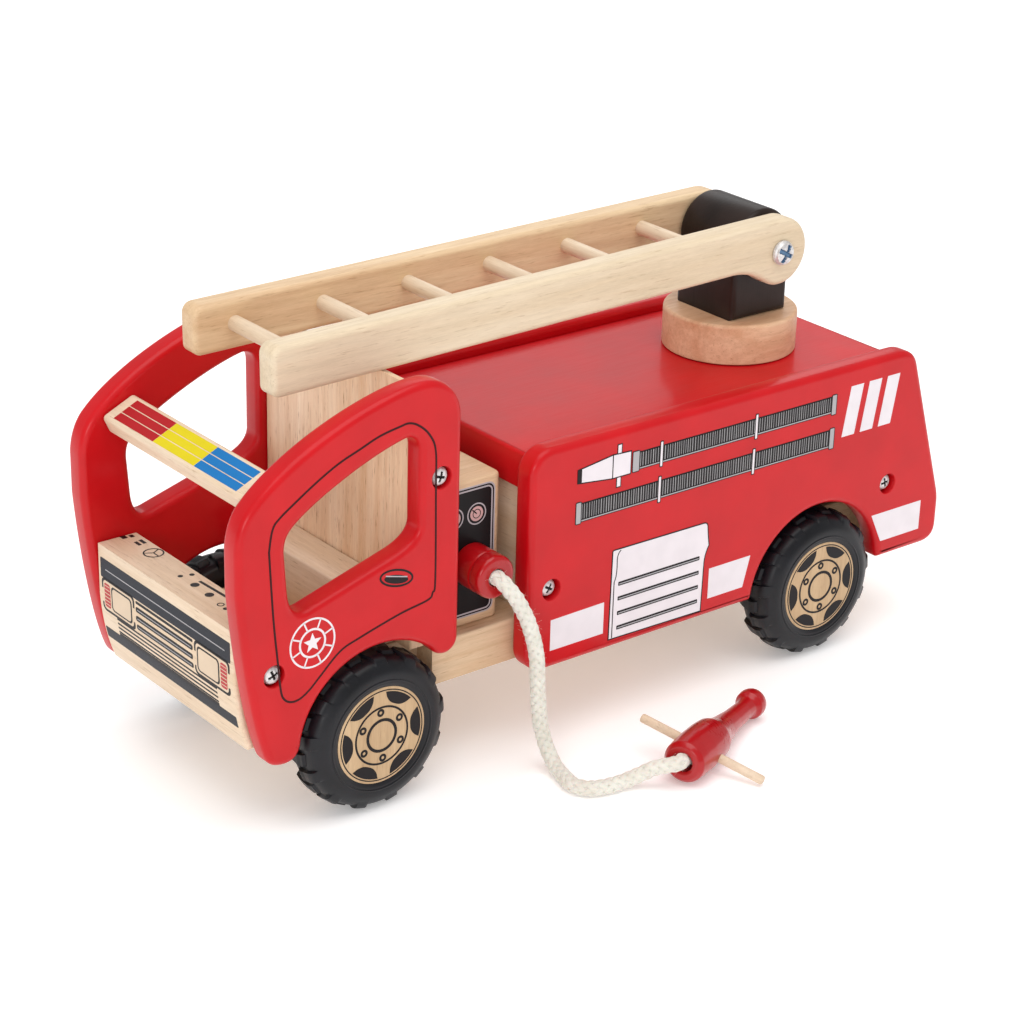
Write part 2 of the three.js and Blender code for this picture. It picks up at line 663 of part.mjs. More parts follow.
function addHose(engine) {
  const v = (x, y, z) => new THREE.Vector3(x, y, z);
  const stub = toSolid(ropeAlong([v(OUTLET_X, 49, OUTLET_Z), OUTLET_BEND], 2));
  addMesh(engine, 'hose_stub', toGeometry(stub.add(toSolid(ball(OUTLET_BEND, ROPE_RADIUS)))), ROPE);

  const dropPath = [v(53.8, 63.8, 73), v(48.5, 65.5, 62), v(44.8, 66.5, 48), v(43.8, 66.8, 33),
    v(42.2, 67.2, 18), v(40.8, 69.8, 8.5), v(41.6, 76, 3.8)];
  const dropLead = v(-0.45, 0.65, -0.61).normalize();
  addMesh(engine, 'hose_drop', ropeBetween(OUTLET_BEND, FLOOR_BEND, dropPath, 20, dropLead), ROPE);

  const floorPath = [v(44.3, 90.8, 3.1), v(41, 96, 3.1), v(34.8, 98.3, 3.1), v(28.5, 99.3, 3.3),
    v(22.6, 101.4, 5.1), v(17.4, 105.3, 8.5)];
  const floorLead = v(0.25, 1, 0).normalize();
  addMesh(engine, 'hose_floor', ropeBetween(FLOOR_BEND, NOZZLE_BEND, floorPath, 16, floorLead), ROPE);

  const axis = NOZZLE_LIP.clone().sub(NOZZLE_MOUTH).normalize();
  const start = NOZZLE_BEND.clone().addScaledVector(axis, BEND_CLEARANCE);
  const end = NOZZLE_BEND.clone().addScaledVector(axis, 11);
  const tail = toSolid(ropeAlong([start, end], 2));
  const clearance = toSolid(ball(NOZZLE_BEND, ROPE_RADIUS + JOINT_GAP));
  addMesh(engine, 'hose_end', toGeometry(tail.subtract(clearance)), ROPE);

  const pinLength = PIN_NEAR_END.distanceTo(PIN_FAR_END);
  const pin = aim(turned(pinProfile(pinLength), 12), PIN_NEAR_END, PIN_FAR_END);
  const hole = aim(turned(pinProfile(pinLength), 12).scale(1.1, 1, 1.1), PIN_NEAR_END, PIN_FAR_END);
  const nozzle = aim(turned(nozzleProfile(), 20), NOZZLE_MOUTH, NOZZLE_LIP);
  addMesh(engine, 'nozzle', cut(nozzle, [hole]), RED);
  addMesh(engine, 'nozzle_cross_pin', pin, WOOD);
}

// ---- assembly ----
const engine = new THREE.Group();
addCore(engine);
addSidePanels(engine);
addWheels(engine);
addLadder(addTurntable(engine));
addHose(engine);
engine.position.z = -CHASSIS_BOTTOM;

export default engine;
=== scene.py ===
import json
import math
import random

import bpy
import bmesh
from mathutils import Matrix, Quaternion, Vector
from mathutils.geometry import tessellate_polygon


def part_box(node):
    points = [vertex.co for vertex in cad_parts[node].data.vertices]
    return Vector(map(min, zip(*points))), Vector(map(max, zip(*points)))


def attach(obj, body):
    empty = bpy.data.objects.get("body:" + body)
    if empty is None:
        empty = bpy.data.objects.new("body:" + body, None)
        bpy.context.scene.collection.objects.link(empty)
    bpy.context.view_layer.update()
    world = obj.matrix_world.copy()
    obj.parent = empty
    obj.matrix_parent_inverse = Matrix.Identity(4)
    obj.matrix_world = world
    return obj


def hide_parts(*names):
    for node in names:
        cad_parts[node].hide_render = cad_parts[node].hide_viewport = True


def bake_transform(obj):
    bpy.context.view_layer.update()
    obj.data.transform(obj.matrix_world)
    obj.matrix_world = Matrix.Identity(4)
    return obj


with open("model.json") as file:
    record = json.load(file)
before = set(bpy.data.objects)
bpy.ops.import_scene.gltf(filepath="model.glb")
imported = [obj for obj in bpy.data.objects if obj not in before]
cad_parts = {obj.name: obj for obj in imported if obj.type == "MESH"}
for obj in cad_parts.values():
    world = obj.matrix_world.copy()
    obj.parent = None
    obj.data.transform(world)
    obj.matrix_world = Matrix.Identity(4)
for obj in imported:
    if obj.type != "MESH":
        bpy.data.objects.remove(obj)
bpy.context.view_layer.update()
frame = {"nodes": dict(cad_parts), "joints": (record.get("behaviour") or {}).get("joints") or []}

# Toy fire engine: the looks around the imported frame. Shapes are worked in millimetres with heights
# above the ground, and are turned into metres in the frame when a piece is made.
random.seed(7)
MM = 0.001
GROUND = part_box("tyre_front_left")[0].z / MM


def span(node):
    """Lowest and highest corners of a frame node in millimetres, heights above the ground."""
    lift = Vector((0, 0, GROUND))
    return [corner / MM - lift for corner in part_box(node)]


def joint(name):
    """A joint's anchor in millimetres, height above the ground."""
    found = next(j for j in frame["joints"] if j["name"] == name)
    return Vector(found["pos_m"]) / MM - Vector((0, 0, GROUND))


def metres(point):
    return (point[0] * MM, point[1] * MM, (point[2] + GROUND) * MM)


PANEL_LOW, PANEL_HIGH = span("cab_side_left")
PANEL_OUTER = PANEL_HIGH.y
PANEL_THICK = PANEL_HIGH.y - PANEL_LOW.y
PANEL_EDGE = 2.6
PIVOT = joint("ladder_tilt")
AXLES = {end: joint(end + "_wheels_roll") for end in ("front", "rear")}
SIDES = (("left", 1), ("right", -1))


# ---- outlines
SAME_POINT = 0.02
CURVE_POINTS = {2: 14, 3: 26}


def clamp(value):
    return max(0.0, min(1.0, value))


def polar(radius, angle, centre=(0, 0)):
    return Vector((centre[0] + radius * math.cos(angle), centre[1] + radius * math.sin(angle)))


def turns(count, start=0.0):
    """Evenly spaced angles of a full turn, in radians."""
    return [start + 2 * math.pi * i / count for i in range(count)]


class Path:
    """An outline in a plane, gathered from lines, arcs and Bezier curves."""

    def __init__(self, u, v):
        self.points = [Vector((u, v))]

    def line(self, u, v):
        self.points.append(Vector((u, v)))
        return self

    def arc(self, cu, cv, radius, start, end, step=4.0):
        """An arc about (cu, cv) between two angles in degrees."""
        count = max(3, int(abs(end - start) / step))
        angles = [math.radians(start + (end - start) * i / count) for i in range(count + 1)]
        self.points += [polar(radius, a, (cu, cv)) for a in angles]
        return self

    def curve(self, *controls, count=None):
        """A curve to the last control point, drawn towards the ones before it."""
        count = count or CURVE_POINTS[len(controls)]
        start = self.points[-1]
        for i in range(1, count + 1):
            row = [start] + [Vector(c) for c in controls]
            while len(row) > 1:
                row = [a.lerp(b, i / count) for a, b in zip(row, row[1:])]
            self.points += row
        return self

    def loop(self):
        kept = []
        for p in self.points:
            if not kept or (p - kept[-1]).length > SAME_POINT:
                kept.append(p)
        if (kept[0] - kept[-1]).length < SAME_POINT:
            kept.pop()
        return kept


def wound(outline, anticlockwise=True):
    """The outline as a loop that runs that way round."""
    loop = [Vector(p) for p in outline]
    area = sum(a.x * b.y - b.x * a.y for a, b in zip(loop, loop[1:] + loop[:1]))
    return loop if (area > 0) == anticlockwise else loop[::-1]


def box_loop(u0, v0, u1, v1, radius=0.0, step=15):
    """A rectangle between two opposite corners, each corner rounded."""
    (u0, u1), (v0, v1) = sorted((u0, u1)), sorted((v0, v1))
    if radius <= 0:
        return [Vector((u0, v0)), Vector((u1, v0)), Vector((u1, v1)), Vector((u0, v1))]
    path = Path(u1 - radius, v0)
    path.arc(u1 - radius, v0 + radius, radius, -90, 0, step)
    path.arc(u1 - radius, v1 - radius, radius, 0, 90, step)
    path.arc(u0 + radius, v1 - radius, radius, 90, 180, step)
    path.arc(u0 + radius, v0 + radius, radius, 180, 270, step)
    return path.loop()


def circle(cu, cv, radius, count=48):
    return [polar(radius, a, (cu, cv)) for a in turns(count)]


def ellipse(cu, cv, ru, rv, tilt, count=48):
    along, out = polar(ru, tilt), polar(rv, tilt + math.pi / 2)
    return [Vector((cu, cv)) + along * math.cos(a) + out * math.sin(a) for a in turns(count)]


def offset(loop, distance):
    """The loop moved to its left by distance, with mitred corners."""
    moved = []
    for i, b in enumerate(loop):
        first = (b - loop[i - 1]).normalized()
        second = (loop[(i + 1) % len(loop)] - b).normalized()
        n1, n2 = Vector((-first.y, first.x)), Vector((-second.y, second.x))
        moved.append(b + (n1 + n2) * (distance / max(0.35, 1 + n1.dot(n2))))
    return moved


def catmull_rom(knots, t, power):
    """A point between the middle two of four knots; their gaps count as distance to a power."""
    times = [0.0]
    for a, b in zip(knots, knots[1:]):
        times.append(times[-1] + max(1e-6, (b - a).length ** power))
    now = times[1] + (times[2] - times[1]) * t

    def between(p, q, low, high):
        return p.lerp(q, (now - times[low]) / (times[high] - times[low]))

    a, b, c, d = knots
    ab, bc, cd = between(a, b, 0, 1), between(b, c, 1, 2), between(c, d, 2, 3)
    return between(between(ab, bc, 0, 2), between(bc, cd, 1, 3), 1, 2)


def smooth_closed(points, count):
    """A closed curve through the points, count steps between two of them."""
    p = [Vector(point) for point in points]
    fours = zip(p[-1:] + p[:-1], p, p[1:] + p[:1], p[2:] + p[:2])
    return [catmull_rom(four, k / count, 0) for four in fours for k in range(count)]


def fillet(points, radii, step=12):
    """Rounds the corners of an open run of 2-D points, one radius to a point."""
    knots = [Vector(p) for p in points]
    path = Path(*knots[0])
    for a, b, c, radius in zip(knots, knots[1:], knots[2:], radii[1:]):
        d1, d2 = (a - b).normalized(), (c - b).normalized()
        angle = math.acos(max(-1, min(1, d1.dot(d2))))
        if radius <= 0 or angle > math.pi - 0.02:
            path.line(*b)
            continue
        reach = min(radius / math.tan(angle / 2), (a - b).length * 0.49, (c - b).length * 0.49)
        path.line(*(b + d1 * reach))
        path.curve(b, b + d2 * reach, count=max(2, int(math.degrees(math.pi - angle) / step)))
    return [(p.x, p.y) for p in path.line(*knots[-1]).points]


# ---- places
def upright(y, side=1):
    """Places an outline in X and Z on the plane y, its depth running inwards from that side."""
    return lambda u, v, w: Vector((u, side * (y - w), v))


def lying(bottom):
    return lambda u, v, w: Vector((u, v, bottom + w))


def turned_about(centre, side=1):
    """Places a turned solid on a cross-wise axis through centre, pointing to one side."""
    return lambda a, along, b: Vector((centre[0] + a, side * along, centre[2] + side * b))


def aimed(start, end):
    """Places a turned solid on the axis from start to end."""
    turn = Vector((0, 1, 0)).rotation_difference((end - start).normalized())
    return lambda a, along, b: start + turn @ Vector((a, along, b))


def quads(start, n, rows, closed=False):
    """Faces between rows of n points, each row a ring. The rows close up on the first if closed."""
    faces = []
    for k in range(rows if closed else rows - 1):
        a, b = start + k * n, start + (k + 1) % rows * n
        faces += [(a + i, a + (i + 1) % n, b + (i + 1) % n, b + i) for i in range(n)]
    return faces


class Solid:
    """Gathers points and faces in millimetres, and becomes one object."""

    def __init__(self):
        self.points, self.faces, self.slots, self.along = [], [], [], []

    def add(self, points, faces, slots, along=None):
        """slots holds each face's material, along each point's two coordinates for a strand's fibres."""
        base = len(self.points)
        self.points += [Vector(p) for p in points]
        self.faces += [tuple(base + i for i in f) for f in faces]
        self.slots += slots
        self.along += along or [(0.0, 0.0)] * len(points)
        return self

    def rings(self, rings, closed=False, caps=True, along=None):
        """Skins a list of equally long rings."""
        n = len(rings[0])
        points = [p for ring in rings for p in ring]
        faces = quads(0, n, len(rings), closed)
        if caps and not closed:
            faces += [tuple(range(n))[::-1], tuple(range(len(points) - n, len(points)))]
        return self.add(points, faces, [0] * len(faces), along)

    def plate(self, outline, holes, place, depth, edge, steps=5):
        """A slab between two flat faces, every edge rounded. holes is a list of (loop, edge)."""
        loops = [(wound(outline), edge)] + [(wound(hole, False), rim) for hole, rim in holes]
        points, faces, caps = [], [], ([], [])
        for loop, radius in loops:
            # A narrow flat step inside each rounded edge keeps the shading of the face flat.
            stages = [(radius + 0.25, 0.0)] if radius > 0.3 else []
            for i in range(steps + 1):
                a = math.radians(90 * i / steps)
                stages.append((radius * (1 - math.sin(a)), radius * (1 - math.cos(a))))
            stages += [(inwards, depth - w) for inwards, w in stages[::-1]]
            n, start = len(loop), len(points)
            for inwards, w in stages:
                points += [(p.x, p.y, w) for p in offset(loop, inwards)]
            faces += quads(start, n, len(stages))
            caps[0].append(range(start, start + n))
            caps[1].append(range(len(points) - n, len(points)))
        for cap in caps:
            flat = [[Vector((points[i][0], points[i][1], 0)) for i in ring] for ring in cap]
            index = [i for ring in cap for i in ring]
            faces += [tuple(index[i] for i in corners) for corners in tessellate_polygon(flat)]
        return self.add([place(u, v, w) for u, v, w in points], faces, [0] * len(faces))

    def lathe(self, profile, place, count=96):
        """A turned solid. profile is [radius, distance along the axis]; it ends on the axis or closes."""
        closed = profile[0] == profile[-1]
        rings = []
        for radius, along in profile[:-1] if closed else profile:
            rings.append([place(radius * math.cos(a), along, radius * math.sin(a)) for a in turns(count)])
        return self.rings(rings, closed, caps=False)

    def piece(self, name, materials, body, *nodes, sharp=38, weld=True):
        """Makes the object, lets it ride on its body and hides the frame nodes that it stands for."""
        mesh = bpy.data.meshes.new(name)
        mesh.from_pydata([metres(p) for p in self.points], [], self.faces)
        mesh.polygons.foreach_set("material_index", self.slots)
        if any(pair != (0.0, 0.0) for pair in self.along):
            layer = mesh.uv_layers.new(name="along")
            for loop in mesh.loops:
                layer.data[loop.index].uv = self.along[loop.vertex_index]
        shape = bmesh.new()
        shape.from_mesh(mesh)
        if weld:
            bmesh.ops.remove_doubles(shape, verts=shape.verts, dist=1e-6)
        bmesh.ops.dissolve_degenerate(shape, edges=shape.edges, dist=1e-7)
        bmesh.ops.recalc_face_normals(shape, faces=shape.faces)
        shape.to_mesh(mesh)
        shape.free()
        mesh.shade_smooth()
        mesh.set_sharp_from_angle(angle=math.radians(sharp))
        for material in materials:
            mesh.materials.append(material)
        made = bpy.data.objects.new(name, mesh)
        bpy.context.scene.collection.objects.link(made)
        if body:
            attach(made, body)
        if nodes:
            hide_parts(*nodes)
        return made


# ---- materials
class Look:
    """A small node-tree builder for one material."""

    def __init__(self, name):
        self.material = bpy.data.materials.new(name)
        self.material.use_nodes = True
        self.tree = self.material.node_tree
        self.tree.nodes.clear()
        self.bsdf = self.node("BsdfPrincipled")
        out = self.node("OutputMaterial")
        self.tree.links.new(self.bsdf.outputs[0], out.inputs[0])

    def node(self, kind, inputs=None, **settings):
        made = self.tree.nodes.new("ShaderNode" + kind)
        for key, value in settings.items():
            setattr(made, key, value)
        for key, value in (inputs or {}).items():
            self.feed(made.inputs[key], value)
        return made

    def feed(self, socket, value):
        if isinstance(value, bpy.types.NodeSocket):
            self.tree.links.new(value, socket)
        else:
            socket.default_value = value

    def finish(self, **values):
        """Feeds the surface's inputs and gives the finished material."""
        for key, value in values.items():
            self.feed(self.bsdf.inputs[key.replace("_", " ")], value)
        return self.material

    def coords(self, seed, scale=(1, 1, 1)):
        """Coordinates in millimetres stretched by scale and shifted by seed."""
        base = self.node("TexCoord").outputs["Object"]
        return self.node("Mapping", {"Vector": base, "Location": (seed, seed * 1.7, seed * 0.6),
                                     "Scale": [s / MM for s in scale]}).outputs[0]

    def noise(self, vector, scale, detail=3.0, rough=0.55, distortion=0.0):
        return self.node("TexNoise", {"Vector": vector, "Scale": scale, "Detail": detail,
                                      "Roughness": rough, "Distortion": distortion}).outputs[0]

    def ramp(self, value, low, high, out_low=0.0, out_high=1.0):
        return self.node("MapRange", {"Value": value, "From Min": low, "From Max": high,
                                      "To Min": out_low, "To Max": out_high}, clamp=True).outputs[0]

    def over(self, base, mask, low, high, cover, colour, factor=1.0, lift=0.0):
        """Lays a colour over the base, up to cover where the mask passes from low to high."""
        sockets = {0: self.ramp(mask, low, high, 0.0, cover), 6: base, 7: rgb(colour, factor, lift)}
        return self.node("Mix", sockets, data_type="RGBA").outputs[2]

    def cloudy(self, mask, colour, other, factor=1.0, lift=0.0):
        """Drifts softly from one colour to the other."""
        return self.over(rgb(colour), mask, 0.3, 0.7, 1.0, other, factor, lift)

    def maths(self, operation, a, b=0.0):
        return self.node("Math", {0: a, 1: b}, operation=operation).outputs[0]

    def bump(self, height, distance, strength=1.0, below=None):
        inputs = {"Height": height, "Distance": distance * MM, "Strength": strength}
        if below is not None:
            inputs["Normal"] = below
        return self.node("Bump", inputs).outputs[0]


def rgb(colour, factor=1.0, lift=0.0):
    """A linear colour from display values of 0 to 255, made brighter or darker."""
    def linear(c):
        c = min(255, c * factor + lift) / 255
        return c / 12.92 if c <= 0.04045 else ((c + 0.055) / 1.055) ** 2.4
    return (*map(linear, colour), 1)


def grain_scale(axis, along=0.06):
    return [along if axis == a else 1.0 for a in "XYZ"]


def wood(name, axis, light, dark, seed, flecks=0.5, strip=0.0):
    """Bare lacquered rubberwood: broad figure, growth lines, and short brown pores along the grain.
    With strip, boards of that width in millimetres are glued side by side, each its own tone."""
    look = Look("wood_" + name)
    stretched = look.coords(seed, grain_scale(axis))
    fine = look.coords(seed + 3, grain_scale(axis, 0.07))
    broad = look.noise(stretched, 0.09, 3, 0.6, 0.6)
    lines = look.noise(stretched, 0.55, 4, 0.6, 0.3)
    fibres = look.noise(fine, 3.2, 2, 0.6)
    pores = look.noise(fine, 1.35, 3, 0.65)
    colour = look.cloudy(broad, light, dark)
    if strip:
        place = look.node("SeparateXYZ", {0: look.node("TexCoord").outputs["Object"]}).outputs["Y"]
        board = look.maths("FLOOR", look.maths("MULTIPLY", place, 1 / MM / strip))
        tone = look.node("TexWhiteNoise", {"W": board}, noise_dimensions="1D").outputs["Value"]
        colour = look.over(colour, tone, 0.0, 1.0, 0.55, dark)
    colour = look.over(colour, lines, 0.35, 0.68, 0.42, dark, 0.9)
    colour = look.over(colour, fibres, 0.4, 0.75, 0.22, light, 1.08)
    pore_brown = (dark[0] * 0.72, dark[1] * 0.62, dark[2] * 0.50)
    colour = look.over(colour, pores, 0.60, 0.70, flecks, pore_brown)
    relief = look.maths("SUBTRACT", fibres, look.ramp(pores, 0.60, 0.70, 0.0, 0.8))
    return look.finish(Base_Color=colour, Roughness=look.ramp(lines, 0.2, 0.8, 0.42, 0.58),
                       Normal=look.bump(relief, 0.05, 0.5), Coat_Weight=0.08, Coat_Roughness=0.3,
                       Specular_IOR_Level=0.4)


def paint(name, colour, axis="X", seed=2.0, rough=0.36, coat=0.20, grain=0.4, spread=0.03):
    """Sprayed lacquer on wood: grain showing through faintly, orange peel, and small dull patches."""
    look = Look(name)
    plain = look.coords(seed + 5)
    grains = look.noise(look.coords(seed, grain_scale(axis, 0.07)), 1.1, 3, 0.6)
    patches = look.noise(plain, 0.045, 3, 0.55)
    peel = look.noise(plain, 0.7, 2, 0.5)
    specks = look.noise(plain, 2.6, 2, 0.6)
    brighter = 1 + spread * 0.6
    tint = look.over(rgb(colour, 1 - spread), patches, 0.3, 0.7, 1.0, colour, brighter, 3)
    tint = look.over(tint, grains, 0.5, 0.8, 0.16, colour, brighter, 3)
    tint = look.over(tint, specks, 0.68, 0.78, 0.10, colour, 0.6)
    roughness = look.maths("ADD", look.ramp(patches, 0.3, 0.7, rough - 0.015, rough + 0.02),
                           look.ramp(grains, 0.4, 0.8, 0.0, 0.06))
    relief = look.bump(peel, 0.03, min(0.25, 0.05 + 0.5 * grain), look.bump(grains, 0.035, grain))
    return look.finish(Base_Color=tint, Roughness=roughness, Normal=relief, Coat_Weight=coat,
                       Coat_Roughness=0.12, Coat_Normal=relief, Specular_IOR_Level=0.20)


def ink(name, colour, seed, rough=0.42, worn=0.03):
    """Screen-printed ink: slightly uneven cover and sheen."""
    look = Look(name)
    cover = look.noise(look.coords(seed), 1.6, 3, 0.6)
    cloud = look.noise(look.coords(seed), 0.12, 2, 0.5)
    base = look.cloudy(cloud, colour, colour, 1 - worn)
    base = look.over(base, cover, 0.6, 0.75, worn, colour, 0.8, 40)
    return look.finish(Base_Color=base, Roughness=look.ramp(cover, 0.3, 0.7, rough - 0.05, rough + 0.08),
                       Normal=look.bump(cover, 0.01, 0.4), Coat_Weight=0.06, Coat_Roughness=0.2,
                       Specular_IOR_Level=0.16)


def rubber(name):
    look = Look(name)
    pits = look.noise(look.coords(9), 1.8, 4, 0.65)
    cloud = look.noise(look.coords(9), 0.10, 3, 0.6)
    base = look.cloudy(cloud, (11, 12, 16), (20, 21, 27))
    base = look.over(base, pits, 0.58, 0.75, 0.22, (60, 60, 63))
    return look.finish(Base_Color=base, Roughness=look.ramp(pits, 0.3, 0.7, 0.32, 0.46),
                       Normal=look.bump(pits, 0.05, 0.35), Specular_IOR_Level=0.34)


def zinc(name, tint=(196, 200, 206), rough=0.24, metal=1.0):
    """Plated steel, finely brushed, its tone a little cloudy."""
    look = Look("zinc_" + name)
    brushed = look.noise(look.coords(13, (0.1, 1, 1)), 4.0, 3, 0.6)
    cloud = look.noise(look.coords(12), 0.9, 3, 0.6)
    base = look.cloudy(cloud, tint, tint, 0.82)
    return look.finish(Base_Color=base, Metallic=metal, Normal=look.bump(brushed, 0.01, 0.4),
                       Roughness=look.ramp(brushed, 0.3, 0.7, rough, rough + 0.14))


def cotton(name):
    """Cotton strand: fibres run along the strand, with a soft fuzzy sheen."""
    look = Look(name)
    base = look.node("TexCoord").outputs["UV"]
    twisted = look.node("Mapping", {"Vector": base, "Scale": (0.9, 9.0, 1.0)}).outputs[0]
    fibres = look.noise(twisted, 1.6, 3, 0.65, 0.4)
    fuzz = look.noise(look.coords(21), 2.4, 3, 0.7)
    cloud = look.noise(look.coords(22), 0.16, 2, 0.5)
    tone = look.cloudy(cloud, (226, 222, 212), (214, 208, 196))
    tone = look.over(tone, fibres, 0.52, 0.74, 0.35, (196, 186, 164))
    return look.finish(Base_Color=tone, Roughness=0.95, Sheen_Weight=0.35, Sheen_Roughness=0.5,
                       Normal=look.bump(look.maths("ADD", fibres, fuzz), 0.10, 0.7),
                       Subsurface_Weight=0.10, Subsurface_Scale=0.0015)


RED = [paint("red_paint", (188, 7, 17))]
RED_UP = [paint("red_paint_upright", (188, 7, 17), "Z", 3.0)]
RED_TURNED = [paint("red_paint_turned", (164, 6, 14), "Y", 8.0, 0.28, 0.6, 0.0)]
RED_ROOF = [paint("red_paint_roof", (192, 11, 20), "X", 6.0, 0.44, 0.16, 1.0)]
BLACK = [paint("black_brown_paint", (38, 27, 23), "Z", 14.0, 0.40, 0.08, 1.4, 0.3)]
# The far rail's wood is a darker, more orange copy of the near rail's: painted shade and painted red
# bounce light.
WOOD_LADDER_WITH_SHADED_FAR = {"left": [wood("ladder", "X", (224, 208, 182), (208, 186, 154), 1.0, 0.34)],
               "right": [wood("ladder_far_painted_shade", "X", (222, 196, 158), (200, 160, 120), 27.0, 0.4)]}
WOOD_RUNG = [wood("rung", "Y", (222, 204, 180), (208, 182, 152), 5.0, 0.35)]
WOOD_BODY = [wood("body", "X", (220, 194, 162), (202, 164, 124), 8.0)]
WOOD_CROSS = [wood("cross", "Y", (228, 209, 186), (212, 184, 150), 12.0)]
WOOD_WALL = [wood("wall", "Z", (252, 230, 202), (222, 180, 138), 15.0, 1.0, 19.0)]
WOOD_DISC = [wood("disc", "X", (230, 196, 160), (204, 154, 116), 19.0)]
WOOD_HUB = [wood("hub", "Z", (200, 170, 132), (178, 146, 108), 23.0, 0.4)]
RUBBER = [rubber("tyre_rubber")]
ZINC = [zinc("steel")]
# Dark zinc for the screws' cross recesses: painted shade.
RECESS_PAINTED_SHADE = zinc("recess", (30, 24, 24), 0.5, 0.3)
ZINC_BRIGHT = zinc("steel_bright", (232, 230, 230), 0.30, 0.45)
# Blue zinc for the pivot bolt's recess: a painted reflection.
ZINC_BLUE_PAINTED_REFLECTION = zinc("steel_blue_painted_reflection", (96, 132, 168), 0.3, 0.5)
COTTON = [cotton("cotton_rope")]
INKS = {}
for name, *colour in (("white", 226, 219, 223), ("dark", 26, 22, 24), ("grey", 168, 166, 168),
                      ("black", 17, 15, 17), ("slate", 28, 32, 42), ("maroon", 52, 6, 10),
                      ("red", 170, 24, 30), ("yellow", 212, 194, 16), ("blue", 20, 112, 178),
                      ("silver", 176, 168, 172), ("dial", 198, 158, 156), ("cream", 214, 192, 166),
                      ("lamp", 180, 60, 62)):
    INKS[name] = ink("ink_" + name, colour, 31 + len(INKS))


# ---- prints
SINK = 0.06
LIFT = 0.07
LAYER = 0.01


class Print(Solid):
    """Ink laid on a surface: thin closed slabs with outlines drawn in the surface's own two axes.
    surface(u, v, height) gives the point at that height above the surface. Ink in a higher layer
    lies over ink in a lower one, and colour is the place of its ink in the list that printed takes."""

    def __init__(self, surface):
        super().__init__()
        self.surface = surface

    def shape(self, outline, colour=0, layer=0, holes=()):
        loops = [wound(outline)] + [wound(hole, False) for hole in holes]
        triangles = tessellate_polygon([[p.to_3d() for p in loop] for loop in loops])
        top = LIFT + LAYER * layer
        points = [self.surface(p.x, p.y, h) for h in (-SINK, top) for loop in loops for p in loop]
        total = len(points) // 2
        faces = [tuple(t) for t in triangles]
        faces += [tuple(i + total for i in t)[::-1] for t in triangles]
        start = 0
        for loop in loops:
            n = len(loop)
            for i in range(n):
                a, b = start + i, start + (i + 1) % n
                faces.append((a, b, b + total, a + total))
            start += n
        return self.add(points, faces, [colour] * len(faces))

    def box(self, u0, v0, u1, v1, colour=0, radius=0.0, layer=0):
        return self.shape(box_loop(u0, v0, u1, v1, radius, 18), colour, layer)

    def ring(self, outline, width, colour=0, layer=0):
        """A closed line of the given width centred on the outline."""
        loop = wound(outline)
        return self.shape(offset(loop, -width / 2), colour, layer, [offset(loop, width / 2)])

    def stroke(self, points, width, colour=0, layer=0):
        """An open line with square ends."""
        knots = [Vector(p) for p in points]
        left, right = [], []
        for before, p, after in zip(knots[:1] + knots, knots, knots[1:] + knots[-1:]):
            along = (after - before).normalized()
            side = Vector((-along.y, along.x)) * (width / 2)
            left.append(p + side)
            right.append(p - side)
        return self.shape(left + right[::-1], colour, layer)

    def printed(self, name, *inks, body="chassis"):
        self.piece(name, [INKS[i] for i in inks], body, sharp=30, weld=False)


def on_side(plane, side):
    return lambda u, v, h: Vector((u, side * (plane + h), v))


# ---- side panels
# Each screw's name, its place, how deep its head is sunk, and the head's radius.
SCREWS = (("cab_upper", 83.0, 124.9, 3.0, 3.6), ("cab_front", 154.5, 67.1, 3.0, 3.6),
          ("body_front", 30.9, 66.9, 3.8, 3.44), ("body_rear", -147.0, 66.9, 3.8, 3.44))
SCREW_HOLE = 4.3
SHANK_RADIUS, SHANK_LENGTH = 1.5, 24


def cab_outline():
    path = Path(74, 60).line(74, 146.5).arc(90, 146.5, 16, 180, 90)
    path.curve((107, 162.8), (146, 149.5), (163, 132)).curve((166.2, 128.7), (168.6, 123.5), (169, 117))
    path.line(169, 101).curve((167.5, 80), (163, 48), (157.5, 34.5))
    path.curve((155.8, 30.5), (150, 30.5)).curve((144, 30.5), (142.9, 37))
    path.arc(AXLES["front"].x - 1.5, AXLES["front"].z, 35, 10.03, 130.06, 3)
    return path.curve((83.5, 54), (80, 54)).arc(80, 60, 6, -90, -180).loop()


def cab_window():
    path = Path(92.2, 136.5).line(92.2, 109).curve((92.2, 102.7), (103, 99.5))
    path.line(140, 88.6).curve((147.2, 86.5), (148, 98)).line(149, 112).curve((149.3, 117), (146.5, 120))
    path.curve((140, 127), (114, 139.5), (98, 142.8)).curve((92.2, 142.8), (92.2, 136.5))
    return path.loop()


def body_outline():
    path = Path(42, 42.3).line(42, 114).arc(32, 114, 10, 0, 90)
    path.line(-148, 124).curve((-157.3, 124), (-159.5, 117))
    path.line(-178.6, 57).curve((-179.5, 54), (-179.5, 51))
    path.line(-179.5, 42).curve((-179.5, 33.8), (-171, 33.8))
    path.line(-145.6, 33.8).curve((-144.6, 33.8), (-144.3, 36.0), count=4)
    path.arc(AXLES["rear"].x + 1, AXLES["rear"].z, 35.5, 171, 9, 3)
    path.curve((-73.4, 33.8), (-72.4, 33.8), count=4)
    return path.line(33.5, 33.8).arc(33.5, 42.3, 8.5, -90, 0).loop()


